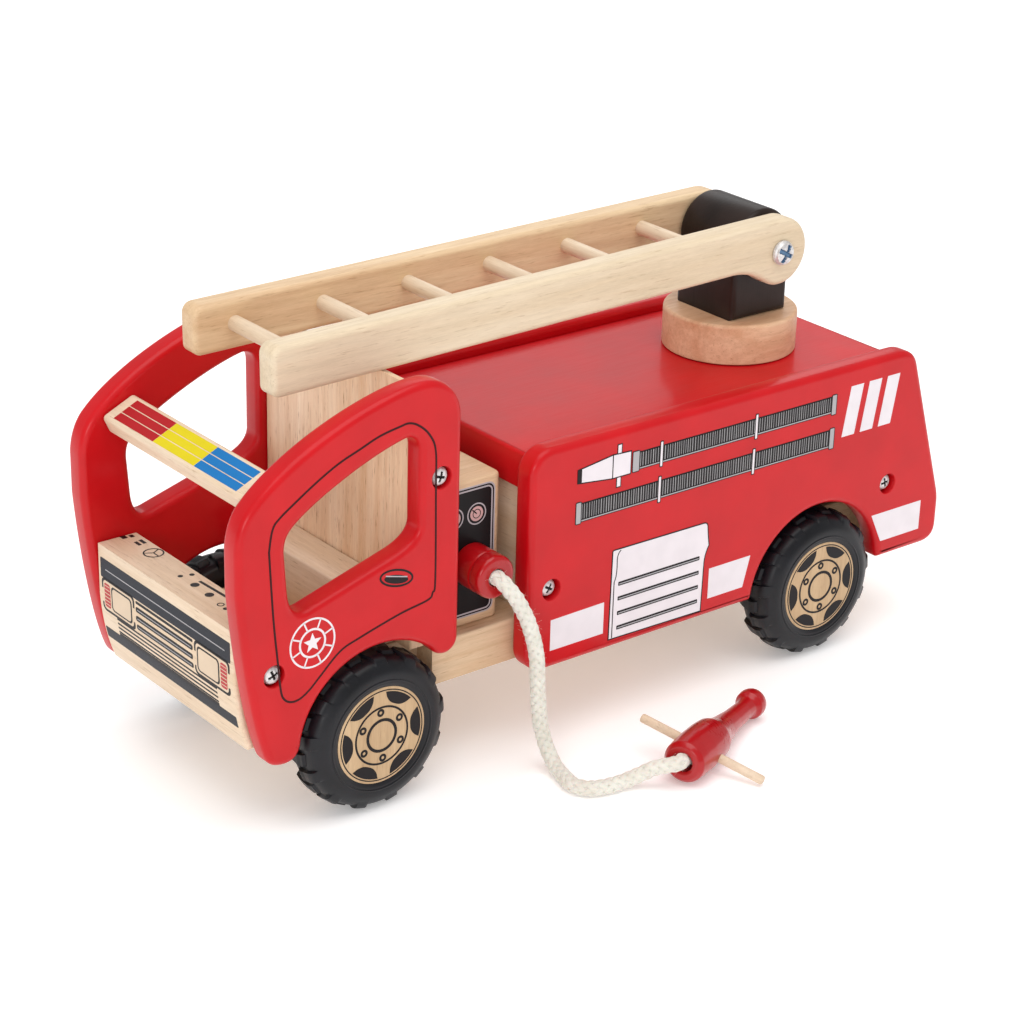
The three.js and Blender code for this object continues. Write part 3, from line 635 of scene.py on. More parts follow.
def pan_screw(solid, x, z, seat, side, radius, turn, rise=2.5, cross=1.0):
    """A domed head with a cross recess, facing out to one side. The recess is the second material, whose
    colour paints the shade in the cross; on the pivot bolt it paints a reflection.
    """
    count = 72
    arm_length, arm_width = radius * 0.56 * cross, radius * 0.12 * cross
    recess_depth = radius * 0.36
    rim = [(radius, 0.0), (radius, 0.9), (radius * 0.965, 1.25), (radius * 0.88, 1.55)]
    dome_radii = [radius * (0.84 - 0.04 * k) for k in range(21)]
    flare = radius * 1.28
    levels = rim + [(r, rise * math.sqrt(max(0.0, 1 - (r / flare) ** 2)) - 0.10) for r in dome_radii]
    points, sunk = [], []
    for level, (r, height) in enumerate(levels):
        for a in turns(count):
            u, v = abs(r * math.cos(a - turn)), abs(r * math.sin(a - turn))
            across_arm, along_arm = min(u, v), max(u, v)
            walls = min((arm_width - across_arm) / 0.12, (arm_length - along_arm) / 0.25)
            sunk.append(clamp(walls + 0.5) if level >= len(rim) else 0.0)
            drop = sunk[-1] * recess_depth * (1 - 0.45 * along_arm / arm_length)
            points.append((x + r * math.cos(a), side * (seat + height - drop), z + r * math.sin(a)))
    faces = quads(0, count, len(levels))
    slots = [1 if sum(sunk[n] for n in face) > 1.4 else 0 for face in faces]
    faces += [tuple(range(len(points) - count, len(points))), tuple(range(count))[::-1]]
    solid.add(points, faces, slots + [1, 0])


for label, side in SIDES:
    for part, outline, windows, red in (("cab", cab_outline(), [cab_window()], RED_UP),
                                        ("body", body_outline(), [], RED)):
        holes = [(circle(x, z, SCREW_HOLE), 0.35) for name, x, z, *_ in SCREWS if name.startswith(part)]
        holes += [(window, PANEL_EDGE) for window in windows]
        panel = Solid().plate(outline, holes, upright(PANEL_OUTER, side), PANEL_THICK, PANEL_EDGE)
        panel.piece("%s_side_panel_%s" % (part, label), red, "chassis", "%s_side_%s" % (part, label),
                    sharp=46)
    for index, (name, x, z, sunk, radius) in enumerate(SCREWS):
        node = "screw_%s_%s" % (name, label)
        screw = Solid()
        seat = PANEL_OUTER - sunk
        pan_screw(screw, x, z, seat, side, radius, turn=0.3 + 0.9 * index)
        shank = [(0, seat - SHANK_LENGTH), (SHANK_RADIUS, seat - SHANK_LENGTH + 3),
                 (SHANK_RADIUS, seat + 0.3), (0, seat + 0.3)]
        screw.lathe(shank, turned_about((x, 0, z), side), 24)
        # The cross recess is painted dark: painted shade.
        screw.piece(node + "_head", [ZINC_BRIGHT, RECESS_PAINTED_SHADE], "chassis", node, sharp=50)


# ---- wooden core
AXLE_BORE = 4.5
ARCH_HALF = 37
WAIST = 38.0
CURVE_TOP = 62.0


def upright_board(name, material, node, outline, edge, holes=(), body="chassis", steps=5, sharp=38):
    """A board with its outline in X and Z, as wide as its node."""
    low, high = span(node)
    board = Solid().plate(outline, holes, upright(high.y), high.y - low.y, edge, steps)
    board.piece(name, material, body, node, sharp=sharp)


def lying_board(name, material, node, outline, edge):
    low, high = span(node)
    board = Solid().plate(outline, [], lying(low.z), high.z - low.z, edge)
    board.piece(name, material, "chassis", node)


def chassis_outline():
    """Full width along the body, narrow between the rear wheels and under the cab."""
    low, high = span("chassis_board")
    cab_front = 78.6
    arch = (AXLES["rear"].x - ARCH_HALF, AXLES["rear"].x + ARCH_HALF)
    half = [(low.x, high.y), (arch[0], high.y), (arch[0], WAIST), (arch[1], WAIST), (arch[1], high.y),
            (cab_front, high.y), (cab_front, WAIST), (high.x, WAIST)]
    return half + [(x, -y) for x, y in half[::-1]]


def grille_front(z):
    """X of the grille's front face: upright above, curving back below."""
    if z >= CURVE_TOP:
        return GRILLE_HIGH.x
    a, b, c = GRILLE_LOW.z, 46.0, CURVE_TOP
    qa, qb, qc = a - 2 * b + c, 2 * (b - a), a - z
    t = (-qb + math.sqrt(max(0.0, qb * qb - 4 * qa * qc))) / (2 * qa)
    back, middle = GRILLE_HIGH.x - 5.5, GRILLE_HIGH.x - 0.9
    return back * (1 - t) ** 2 + middle * 2 * t * (1 - t) + GRILLE_HIGH.x * t * t


lying_board("chassis_board_wood", WOOD_BODY, "chassis_board", chassis_outline(), 0.9)
PUMP_LOW, PUMP_HIGH = span("pump_block")
lying_board("pump_block_wood", WOOD_BODY, "pump_block",
            box_loop(PUMP_LOW.x, PUMP_LOW.y, PUMP_HIGH.x, PUMP_HIGH.y, 3.5, 10), 1.2)
low, high = span("roof_board")
lying_board("roof_board_red", RED_ROOF, "roof_board", box_loop(low.x, low.y, high.x, high.y, 1.2), 1.3)

GRILLE_LOW, GRILLE_HIGH = span("grille_block")
path = Path(GRILLE_LOW.x, GRILLE_LOW.z)
CURVE_STEPS = 28
for step in range(CURVE_STEPS + 1):
    height = GRILLE_LOW.z + (CURVE_TOP - GRILLE_LOW.z) * step / CURVE_STEPS
    path.line(grille_front(height), height)
path.line(GRILLE_HIGH.x, GRILLE_HIGH.z).line(GRILLE_LOW.x, GRILLE_HIGH.z)
upright_board("grille_block_wood", WOOD_CROSS, "grille_block", path.loop(), 1.7)

low, high = span("cab_back_wall")
path = Path(low.x, low.z).line(high.x, low.z).line(high.x, high.z)
path.curve((80, high.z - 1.9), (low.x, 146.5))
upright_board("cab_back_wall_wood", WOOD_WALL, "cab_back_wall", path.loop(), 0.9)

for node in ("seat_board", "bulkhead", "rear_wall"):
    low, high = span(node)
    upright_board(node + "_wood", WOOD_CROSS, node, box_loop(low.x, low.z, high.x, high.z, 1.2), 1.0)

for end, axle in AXLES.items():
    node = end + "_axle_block"
    low, high = span(node)
    upright_board(node + "_wood", WOOD_CROSS, node, box_loop(low.x, low.z, high.x, high.z, 1.0), 0.9,
                  [(circle(axle.x, axle.z, AXLE_BORE), 0.4)])

BAR_LEAN = math.radians(24.9)
BAR_TOP = Vector((146.4, 137.7))


def bar_point(u, v, y):
    """A point of the leaning light bar: u runs down its top face from the rear edge, v up out of it."""
    at = BAR_TOP + polar(u, -BAR_LEAN) + polar(v, math.pi / 2 - BAR_LEAN)
    return Vector((at.x, y, at.y))


low, high = span("light_bar")
bar = Solid().plate(box_loop(0, -8, 15, 0, 1.6, 10), [], lambda u, v, w: bar_point(u, v, high.y - w),
                    high.y - low.y, 0.8)
bar.piece("light_bar_wood", WOOD_CROSS, "chassis", "light_bar")

outlet_profile = fillet([(0, 42.2), (8.5, 42.2), (8.5, 51.2), (8.1, 52), (8.5, 52.8), (8.5, 58),
                         (3.4, 58), (3.3, 48), (0, 48)],
                        [0, 0.4, 0.8, 0.8, 0.8, 2.2, 0.9, 0.3, 0])
outlet = Solid().lathe(outlet_profile, turned_about(joint("hose_lift")), 72)
outlet.piece("hose_outlet_red", RED_TURNED, "chassis", "hose_outlet")


# ---- prints on the body
def cab_prints(label, side):
    surface = on_side(PANEL_OUTER, side)
    door = [(156, 112), (154.7, 89), (153.2, 73), (152, 61), (150.5, 57), (147.6, 55.2), (144, 55.4),
            (140, 57.7), (135.7, 61.5), (127, 69), (118.5, 72), (101, 76.5), (88.7, 78.6), (86.5, 81),
            (85.4, 86), (85.7, 121), (86, 136), (88.8, 142.7), (93.2, 147), (97.5, 149),
            (101.8, 148.6), (110.3, 147), (118.7, 144), (127, 141), (135.3, 136.8), (143.6, 131.8),
            (151.8, 126.4), (154.6, 123), (156, 116)]
    Print(surface).ring(smooth_closed(door, 6), 0.8).printed("door_line_" + label, "maroon")

    handle = Print(surface)
    tilt = math.atan2(3.7, 13.6)
    handle.ring(ellipse(102.6, 91.1, 7.2, 3.1, tilt), 0.8)
    handle.shape(ellipse(102.7, 90.6, 5.4, 1.7, tilt))
    handle.stroke([(97.9, 90.4), (107.3, 93.0)], 0.45, 1, 4)
    handle.printed("door_handle_" + label, "dark", "silver")

    badge = Print(surface)
    centre = (138.6, 75.7)
    badge.ring(circle(*centre, 9.3), 0.7)
    badge.ring(circle(*centre, 5.3), 0.8)
    for a in turns(8, math.pi / 8):
        badge.stroke([polar(5.5, a, centre), polar(9.2, a, centre)], 0.6)
    badge.shape([polar(1.7 if i % 2 else 3.9, a, centre) for i, a in enumerate(turns(10, math.pi / 2))])
    badge.printed("round_badge_" + label, "white")


def ribbed_band(bands, x0, x1, z0, z1):
    """A printed length of ribbed hose: pale ground, dark ribs and three dark lines along it."""
    bands.box(x0, z0, x1, z1, 1, 0.4)
    for low, high in ((z1 - 0.45, z1 + 0.1), (z0 + 0.7, z0 + 1.15), (z0 - 0.1, z0 + 0.2)):
        bands.box(x0 - 0.1, low, x1 + 0.1, high, layer=3)
    at = x0 + 0.9
    while at < x1 - 0.6:
        width = 0.78 + 0.30 * random.random()
        bands.box(at, z0 + 0.8, at + width, z1 - 0.2, layer=3)
        at += width + 0.24 + 0.16 * random.random()


def body_prints(label, side):
    surface = on_side(PANEL_OUTER, side)
    patches = Print(surface)
    patches.shape([(30.9, 41.4), (30.9, 54.2), (4.8, 54.6), (4.8, 41.4)])
    patches.shape([(-49, 54.4), (-49, 41.4), (-67.6, 41.4), (-71, 54.4)])
    patches.shape([(-139, 54.4), (-145.5, 41.4), (-168, 41.4), (-168, 54.4)])
    patches.printed("white_patches_" + label, "white")

    hatch = Print(surface)
    sheet = Path(2, 37.8).line(1.5, 74.6).curve((1.5, 75.3), (0.6, 75.3), count=4).line(-45.4, 75)
    sheet.curve((-46.9, 74.6), (-47, 73.3), count=4).curve((-47.4, 69), (-48.2, 65), count=5)
    sheet.curve((-46.2, 61.5), (-46, 58), count=5).line(-45.5, 37)
    hatch.shape(sheet.loop())
    hatch.ring(sheet.loop(), 0.5, 1, 4)
    fold = Path(-2.6, 74.6).curve((-0.7, 73.4), (-0.9, 70), count=5)
    fold.curve((-1.2, 64), (0.2, 61.8), count=5).line(0.3, 38.2)
    hatch.stroke(fold.loop(), 0.45, 1, 4)
    for z in (60.6, 54.4, 48.2, 42.0):
        hatch.box(-1.9, z - 0.95, -43.5, z + 0.75, 1, 0.3, 3)
        hatch.box(-2.4, z - 0.45, -43.1, z - 0.05, 2, 0.0, 6)
    hatch.printed("shutter_hatch_" + label, "white", "dark", "grey")

    bands = Print(surface)
    ribbed_band(bands, -111.5, -6.6, 106.1, 113.3)
    ribbed_band(bands, -111.5, 20.0, 91.4, 99.0)
    for x, z0, z1 in ((-20.8, 104.4, 115.2), (-69.8, 104.4, 115.2), (-20.6, 89.6, 100.8),
                      (-69.3, 89.6, 100.8)):
        bands.box(x - 0.85, z0, x + 0.85, z1, 0, 0.4, 5)
        bands.box(x - 0.5, z0 + 0.4, x + 0.5, z1 - 0.4, 2, 0.3, 8)
    for x0, x1, z0, z1 in ((-9.8, -6.4, 105.5, 113.9), (-113.2, -110.6, 105.3, 113.9),
                           (-113.2, -110.6, 90.6, 99.6), (18.0, 20.6, 90.8, 99.6)):
        bands.box(x0, z0, x1, z1, 1, 0.5, 5)
        bands.ring(box_loop(x0, z0, x1, z1, 0.5), 0.35, 0, 7)
    bands.printed("ribbed_hose_print_" + label, "dark", "grey", "white")

    tip = Print(surface)
    cross = [(1.2, 101.3), (1.2, 118.6), (-0.9, 118.6), (-0.9, 101.3)]
    cone = [(20.2, 107.4), (20.2, 112.7), (3.3, 115.0), (3.3, 105.4)]
    barrel = [(3.3, 105.4), (3.3, 115.0), (-5.6, 114.6), (-5.6, 105.4)]
    for outline, width, layer in ((cross, 0.4, 0), (cone, 0.45, 4), (barrel, 0.45, 4)):
        tip.shape(outline, 1, layer)
        tip.ring(outline, width, 0, layer + 3)
    tip.box(18.3, 107.4, 20.2, 112.7, 0, 0.2, 8)
    tip.printed("nozzle_print_" + label, "dark", "white")

    bars = Print(surface)
    for x in (-117.5, -127.8, -138.1):
        bars.shape([(x, 94.3), (x - 7.0, 94.3), (x - 10.6, 115.4), (x - 3.6, 115.4)])
    bars.printed("slanted_bars_" + label, "white")


def pump_prints(label, side):
    panel = Print(on_side(PUMP_HIGH.y, side))
    x0, x1, z0, z1 = PUMP_LOW.x + 3.2, PUMP_HIGH.x - 3.2, 57.5, PUMP_HIGH.z - 2.4
    panel.box(x0, z0, x1, z1, 1, 3.2)
    panel.box(x0 + 0.6, z0 + 0.6, x1 - 0.6, z1 - 0.6, 0, 2.8, 3)
    panel.ring(box_loop(x0 + 1.5, z0 + 1.5, x1 - 1.5, z1 - 1.5, 2.2), 0.6, 1, 6)
    dial, z = 4.1, 98.6
    for x in (55.2, 65.6):
        panel.ring(circle(x, z, dial), 0.5, 1, 6)
        panel.shape(circle(x, z, dial * 0.72, 32), 2, 6)
        panel.ring(circle(x, z, dial * 0.42, 28), 0.35, 0, 9)
        panel.stroke([(x, z), (x + dial * 0.5, z + dial * 0.45)], 0.5, 0, 9)
    panel.printed("pump_panel_print_" + label, "black", "silver", "dial")


def grille_print():
    """The front: a slate band, two lamp panels, three slots between them and lines below."""
    dark, slate, grey, cream, lamp = range(5)
    face = Print(lambda u, v, h: Vector((grille_front(v) + h, u, v)))
    face.box(-44.5, 69.6, 44.5, 77.6, slate, 0.6)
    face.box(-41, 73.2, 41, 73.6, grey, 0, 3)
    for sign in (-1, 1):
        for y0, z0, y1, z1, colour, radius, layer in ((44.0, 56.0, 20.6, 69.9, dark, 2.2, 0),
                                                      (42.9, 57.1, 21.7, 68.9, cream, 1.6, 3),
                                                      (42.2, 58.1, 38.0, 67.9, lamp, 1.0, 6),
                                                      (37.2, 57.9, 22.5, 68.1, dark, 1.8, 5),
                                                      (36.4, 58.6, 23.3, 67.4, cream, 1.5, 8)):
            face.box(sign * y0, z0, sign * y1, z1, colour, radius, layer)
        for i in range(6):
            z = 59.2 + 1.5 * i
            face.box(sign * 42.0, z, sign * 38.2, z + 0.3, cream, 0, 8)
    for z in (64.6, 61.0, 57.4):
        face.box(-19.6, z, 19.6, z + 2.1, dark, 0.8)
        face.box(-18.6, z + 0.8, 18.6, z + 1.15, grey, 0, 3)
    face.box(-19.6, 67.9, 19.6, 69.0, dark, 0.4)
    for z in (55.2, 53.4, 51.6, 49.8):
        face.box(-34.5, z, 34.5, z + 0.75, dark, 0.3)
    face.box(-45.2, 43.8, 45.2, 48.4, slate, 0.5)
    face.box(-34.5, 48.2, 34.5, 49.6, dark, 0.3)
    face.printed("grille_print", "dark", "slate", "grey", "cream", "lamp")


def dashboard_print():
    """On top of the grille block: knobs, a steering wheel and small switches."""
    dash = Print(lambda u, v, h: Vector((u, v, GRILLE_HIGH.z + h)))
    for x, y, r in ((154.8, -3.4, 1.0), (150.7, -2.1, 1.0), (154.4, 5.9, 1.7), (154.6, 15.9, 1.7),
                    (156.0, 28.9, 1.0), (152.6, 33.5, 1.0)):
        dash.shape(circle(x, y, r, 28))
    dash.ring(circle(155.6, 25.0, 1.2, 28), 0.45)
    dash.stroke([(151.4, 4.3), (150.6, 21.0)], 1.2)
    wheel = (152.2, -26.3)
    dash.ring(circle(*wheel, 3.7, 40), 0.6)
    for a in turns(3, math.pi / 2):
        dash.stroke([wheel, polar(3.5, a, wheel)], 0.5)
    for corners in ((152.9, -46.0, 155.1, -43.4), (150.2, -45.0, 151.9, -42.9),
                    (149.6, -39.2, 151.0, -35.4), (152.0, -38.6, 153.3, -35.0)):
        dash.box(*corners)
    dash.printed("dashboard_print", "dark")


def light_bar_prints():
    """Three blocks of colour across the bar, each of three stripes."""
    for index, name in enumerate(("blue", "yellow", "red")):
        stripes = Print(lambda u, v, h: bar_point(u, h, v))
        left = 40.6 - 27.4 * index
        for row in range(3):
            u = 1.9 + 3.85 * row
            stripes.box(u, left - 27.2, u + 3.45, left)
        stripes.printed("light_bar_print_" + name, name)


for label, side in SIDES:
    cab_prints(label, side)
    body_prints(label, side)
    pump_prints(label, side)
grille_print()
dashboard_print()
light_bar_prints()


# ---- wheels
TYRE_LOW, TYRE_HIGH = span("tyre_front_left")
TYRE_HALF = (TYRE_HIGH.y - TYRE_LOW.y) / 2
BORE = 19.5
LIP_RADIUS = 18.7
LUGS = 13
LUG_PITCH = 2 * math.pi / LUGS
LUG_SHARE = 0.39
LUG_RAMP = 0.03
LUG_SHEAR = 0.16


def lug(phase):
    """Height of a row of lugs at a phase of its pitch: 1 on a lug, 0 in the groove."""
    phase %= 1.0
    return clamp(min(phase, LUG_SHARE - phase) / LUG_RAMP)


def tyre_profile():
    """The tyre's cross-section in small steps, as (radius, distance from the tyre's middle plane)."""
    half = TYRE_HALF
    profile = fillet([(BORE, -half + 0.6), (BORE + 1.0, -half), (25.2, -half), (28.7, -half + 1.9),
                      (29.4, -half + 4.5), (29.4, half - 5.2), (28.3, half - 2.2), (24.2, half),
                      (20.6, half - 0.2), (LIP_RADIUS, half - 1.0), (BORE, half - 1.05)],
                     [0, 0.8, 2.5, 1.8, 2, 3, 4, 5, 1.4, 0.2, 0])
    dense = []
    for (r0, s0), (r1, s1) in zip(profile, profile[1:]):
        parts = max(1, int(math.hypot(r1 - r0, s1 - s0) / 0.7))
        dense += [(r0 + (r1 - r0) * k / parts, s0 + (s1 - s0) * k / parts) for k in range(parts)]
    return dense + [profile[-1]]


def tyre_rings(side, centre):
    """The cross-section swept round: chunky lugs alternate between the two shoulders."""
    phases = (-0.03, 0.0, 0.012, 0.03, 0.12, 0.21, 0.30, 0.36, 0.378, 0.39, 0.42)
    marks = sorted({round((base + phase) % 1.0, 4) for base in (0.0, 0.5) for phase in phases})
    profile = tyre_profile()
    rings = []
    for phase in [n + mark for n in range(LUGS) for mark in marks]:
        ring = []
        for r, s in profile:
            a = (phase + LUG_SHEAR * abs(s) / TYRE_HALF) * LUG_PITCH
            outer_row = lug(phase) * clamp((s + 2.4) / 0.7)
            inner_row = lug(phase + 0.5) * clamp((2.4 - s) / 0.7)
            height = max(outer_row, inner_row) * clamp((r - 27.4) / 1.3)
            out = r + height * (1.2 if s > 0 else 1.6)
            if abs(s) > TYRE_HALF - 4.5:
                s = math.copysign(min(abs(s) + height * 0.3, TYRE_HALF), s)
            ring.append(Vector((centre.x + out * math.cos(a), side * (TYRE_LOW.y + TYRE_HALF + s),
                                centre.z + side * out * math.sin(a))))
        rings.append(ring)
    return rings


def sidewall_ring(solid, centre, side):
    """A fine raised line round the tyre's wall."""
    radius, width, rise, plane = 21.4, 0.7, 0.12, TYRE_HIGH.y
    profile = [(radius, plane - 0.3), (radius, plane), (radius + width * 0.3, plane + rise),
               (radius + width * 0.7, plane + rise), (radius + width, plane),
               (radius + width, plane - 0.3), (radius, plane - 0.3)]
    solid.lathe(profile, turned_about(centre, side))


def half_moon(centre, angle, rim, depth, half_width):
    """A dark cut-out against the hub's rim: the rim outside, a bowed edge inside."""
    loop = [polar(rim, angle + half_width * (1 - 2 * i / 14), centre) for i in range(15)]
    for t in [i / 10 - 1 for i in range(1, 20)]:
        bowed = rim - depth * (1 - abs(t) ** 2.6) ** 0.62
        loop.append(polar(bowed, angle + half_width * t, centre))
    return loop


for end, axle in AXLES.items():
    body = end + "_wheels"
    dowel = Solid().lathe(fillet([(0, -55), (4, -55), (4, 55), (0, 55)], [0, 0.6, 0.6, 0]),
                          turned_about(axle), 40)
    dowel.piece(end + "_axle_dowel", WOOD_RUNG, body, end + "_axle")
    for label, side in SIDES:
        wheel = "%s_%s" % (end, label)
        tyre = Solid().rings(tyre_rings(side, axle), closed=True)
        sidewall_ring(tyre, axle, side)
        tyre.piece("tyre_lugged_" + wheel, RUBBER, body, "tyre_" + wheel, sharp=32)
        low, high = span("hub_%s_left" % end)
        hub_profile = fillet([(0, low.y), (19.4, low.y), (19.4, high.y), (0, high.y)], [0, 0.5, 0.9, 0])
        hub = Solid().lathe(hub_profile, turned_about(axle, side), 120)
        hub.piece("hub_turned_" + wheel, WOOD_HUB, body, "hub_" + wheel)
        rings = Print(on_side(high.y, side))
        centre = (axle.x, axle.z)
        for radius, width, count in ((18.0, 0.45, 96), (11.4, 0.8, 72), (6.2, 1.2, 64)):
            rings.ring(circle(*centre, radius, count), width)
        for a in turns(6, math.radians(57)):
            rings.shape(half_moon(centre, a, 17.3, 4.6, math.radians(21)))
            rings.ring(circle(*polar(9.3, a + math.pi / 6, centre), 1.1, 24), 0.95)
        rings.printed("hub_print_" + wheel, "dark", body=body)


# ---- turntable and ladder
TURRET_RADIUS = 15
TILT = math.radians(0.9)
SPLAY = math.radians(0.7)
RAIL_INNER = 17.5
RAIL_THICK = 10.0
RAIL_END = 13.8
REACH = 242.6
FIRST_RUNG, RUNG_PITCH, RUNG_HEIGHT, RUNG_RADIUS = 34.5, 38.2, 4.8, 3

low, high = span("turntable_disc")
disc_profile = fillet([(0, low.z), (27.4, low.z), (27.4, high.z), (0, high.z)], [0, 0.7, 1.7, 0], 10)
disc = Solid().lathe(disc_profile, lambda a, along, b: Vector((PIVOT.x + a, b, along)), 128)
disc.piece("turntable_disc_wood", WOOD_DISC, "turntable", "turntable_disc")

low, high = span("turret_block")
path = Path(PIVOT.x + TURRET_RADIUS, low.z).line(PIVOT.x + TURRET_RADIUS, PIVOT.z)
path.arc(PIVOT.x, PIVOT.z, TURRET_RADIUS, 0, 180).line(PIVOT.x - TURRET_RADIUS, low.z)
upright_board("turret_block_dark", BLACK, "turret_block", path.loop(), 2.2,
              body="turntable", steps=6, sharp=50)


def ladder_point(along, y, height):
    at = Vector((PIVOT.x, PIVOT.z)) + polar(along, -TILT) + polar(height, math.pi / 2 - TILT)
    return Vector((at.x, y, at.y))


def rail_outline():
    """A broad round end about the pivot, narrowing to the rail."""
    path = Path(0, RAIL_END).arc(0, 0, RAIL_END, 90, 275.7).curve((8, -13.5), (12, -5.2), (26, -5.2))
    return path.arc(REACH - 3.2, -2.0, 3.2, -90, 0).arc(REACH - 4.2, 9.6, 4.2, 0, 90).loop()


def rail_place(side):
    """The rails splay: each stands away from the middle a little more towards its free end."""
    def place(u, v, w):
        at = polar(u, SPLAY) + polar(RAIL_INNER + RAIL_THICK - w, math.pi / 2 + SPLAY)
        return ladder_point(at.x, side * at.y, v)
    return place


for label, side in SIDES:
    rail = Solid().plate(rail_outline(), [(circle(0, 0, 2.8, 32), 0.3)], rail_place(side), RAIL_THICK, 2.0)
    rail.piece("ladder_rail_wood_" + label, WOOD_LADDER_WITH_SHADED_FAR[label], "ladder", "ladder_rail_" + label)


def rung(node, along):
    half = RAIL_INNER + along * math.tan(SPLAY) + 4.5
    profile = fillet([(0, -half), (RUNG_RADIUS, -half), (RUNG_RADIUS, half), (0, half)],
                     [0, 0.3, 0.3, 0])
    dowel = Solid().lathe(profile, lambda a, y, b: ladder_point(along + a, y, RUNG_HEIGHT + b), 40)
    dowel.piece(node + "_dowel", WOOD_RUNG, "ladder", node)


for index in range(6):
    rung("ladder_rung_%d" % (index + 1), FIRST_RUNG + RUNG_PITCH * index)

low, high = span("ladder_pivot_bolt")
bolt = Solid()
pan_screw(bolt, PIVOT.x, PIVOT.z, high.y - 3.2, 1, 5.0, turn=0.5, rise=3.2, cross=1.35)
bolt.lathe(fillet([(0, low.y), (2.5, low.y + 0.5), (2.5, high.y - 3.0), (0, high.y - 3.0)],
                  [0, 0.2, 0.2, 0]), turned_about(PIVOT), 40)
# The bolt's recess is painted blue: a painted reflection.
bolt.piece("ladder_pivot_bolt_zinc", [ZINC_BRIGHT, ZINC_BLUE_PAINTED_REFLECTION], "turntable", "ladder_pivot_bolt", sharp=50)

for node, loop, rim, edge in (("ladder_pivot_nut", circle(PIVOT.x, PIVOT.z, 4.8, 6), 0.3, 0.35),
                              ("ladder_pivot_washer", circle(PIVOT.x, PIVOT.z, 6, 64), 0.2, 0.25)):
    upright_board(node + "_zinc", ZINC, node, loop, edge, [(circle(PIVOT.x, PIVOT.z, 2.6, 32), rim)],
                  body="turntable", steps=3)

for node in ("turntable_screw", "turntable_washer"):
    held = frame["nodes"][node]
    held.data.materials.clear()
    held.data.materials.append(ZINC[0])
    rounding = held.modifiers.new("rounded edges", "BEVEL")
    rounding.width = 0.2 * MM
    rounding.segments = 2


# ---- nozzle
MOUTH = Vector((8.5, 110.1, 9.6))
LIP = Vector((-50.0, 85.3, 6.6))
PIN_NEAR = Vector((-16.1, 128.6, 2.6))
PIN_FAR = Vector((3.0, 80.1, 14.3))
PIN_RADIUS = 1.8

nozzle_profile = fillet(
    [(0, 13), (3.7, 13), (3.7, 0.7), (4.8, 0.0), (6.8, 0.0), (8.3, 1.6), (8.6, 6), (8.8, 13),
     (8.7, 20), (8.3, 25.5), (6.3, 31), (5.4, 36), (4.5, 44), (4.0, 54), (4.2, 59), (5.8, 60.6),
     (6.0, 63.2), (5.6, 65.4), (4.4, 66), (2.7, 66), (2.4, 65.5), (2.4, 48), (0, 48)],
    [0, 0.2, 0.5, 0.6, 1.2, 1.6, 6, 6, 6, 3.5, 5, 6, 8, 6, 2.5, 1.2, 1.4, 1.2, 0.8, 0.4, 0.4, 0.2, 0], 6)
nozzle = Solid().lathe(nozzle_profile, aimed(MOUTH, LIP))
nozzle.piece("nozzle_turned", RED_TURNED, "nozzle_body", "nozzle", sharp=60)
pin_length = (PIN_FAR - PIN_NEAR).length
pin_profile = fillet([(0, 0), (PIN_RADIUS, 0), (PIN_RADIUS, pin_length), (0, pin_length)],
                     [0, 1.6, 1.6, 0], 10)
pin = Solid().lathe(pin_profile, aimed(PIN_NEAR, PIN_FAR), 32)
pin.piece("nozzle_cross_pin_dowel", WOOD_RUNG, "nozzle_body", "nozzle_cross_pin")


# ---- rope hose
ROPE_KNOTS = [(57.5, 49, 79), (57.5, 55, 79), (57.5, 60, 79), (53.8, 63.8, 73), (48.5, 65.5, 62),
              (44.8, 66.5, 48), (43.8, 66.8, 33), (42.2, 67.2, 18), (40.8, 69.8, 8.5),
              (41.6, 76, 3.8), (43.4, 84.4, 3.1), (44.3, 90.8, 3.1), (41, 96, 3.1),
              (34.8, 98.3, 3.1), (28.5, 99.3, 3.3), (22.6, 101.4, 5.1), (17.4, 105.3, 8.5),
              (11.0, 110.9, 10.9)]
ROPE_STEP = 0.4
CORE_RADIUS = 2.5
STRANDS = 4
STRAND_WIDTH, STRAND_DEPTH = 1.16, 0.50
BRAID_PITCH = 15.0
BRAID_RADIUS = 2.42
BRAID_WEAVE = 0.17
OVERLAP = 6
FLOOR_GAP = 0.03


def curve_through(knots):
    """Points at every ROPE_STEP along a centripetal curve through the knots."""
    p = [knots[0] * 2 - knots[1]] + knots + [knots[-1] * 2 - knots[-2]]
    dense = [catmull_rom(four, k / 40, 0.5) for four in zip(p, p[1:], p[2:], p[3:]) for k in range(40)]
    even, gone = [dense[0]], 0.0
    for a, b in zip(dense, dense[1:] + [knots[-1]]):
        length = (b - a).length
        while length > 0 and gone + length >= ROPE_STEP:
            a = a + (b - a) * ((ROPE_STEP - gone) / length)
            length = (b - a).length
            even.append(a)
            gone = 0.0
        gone += length
    return even


def rope_frames():
    """The rope's centreline, which runs on into the nozzle: point, way ahead and two ways across."""
    knots = [Vector(k) for k in ROPE_KNOTS]
    inwards = (LIP - MOUTH).normalized()
    centreline = curve_through(knots + [knots[-1] + inwards * 4, knots[-1] + inwards * 10])
    sideways = Vector((1, 0, 0))
    frames = []
    for i, point in enumerate(centreline):
        ahead = centreline[min(i + 1, len(centreline) - 1)] - centreline[max(i - 1, 0)]
        ahead.normalize()
        sideways = (sideways - ahead * sideways.dot(ahead)).normalized()
        frames.append((point, ahead, sideways, ahead.cross(sideways)))
    return frames


FRAMES = rope_frames()
LAST = len(FRAMES) - 1


def girth(i, start, end):
    """1 along the rope, less where a length runs on inside the next one."""
    beyond = max(start + OVERLAP - i if start else 0, i - end + OVERLAP if end < LAST else 0)
    return 1 - 0.5 * max(0, beyond) / OVERLAP


def outwards(i, angle):
    """The way out from the rope's centreline at an angle round it."""
    return FRAMES[i][2] * math.cos(angle) + FRAMES[i][3] * math.sin(angle)


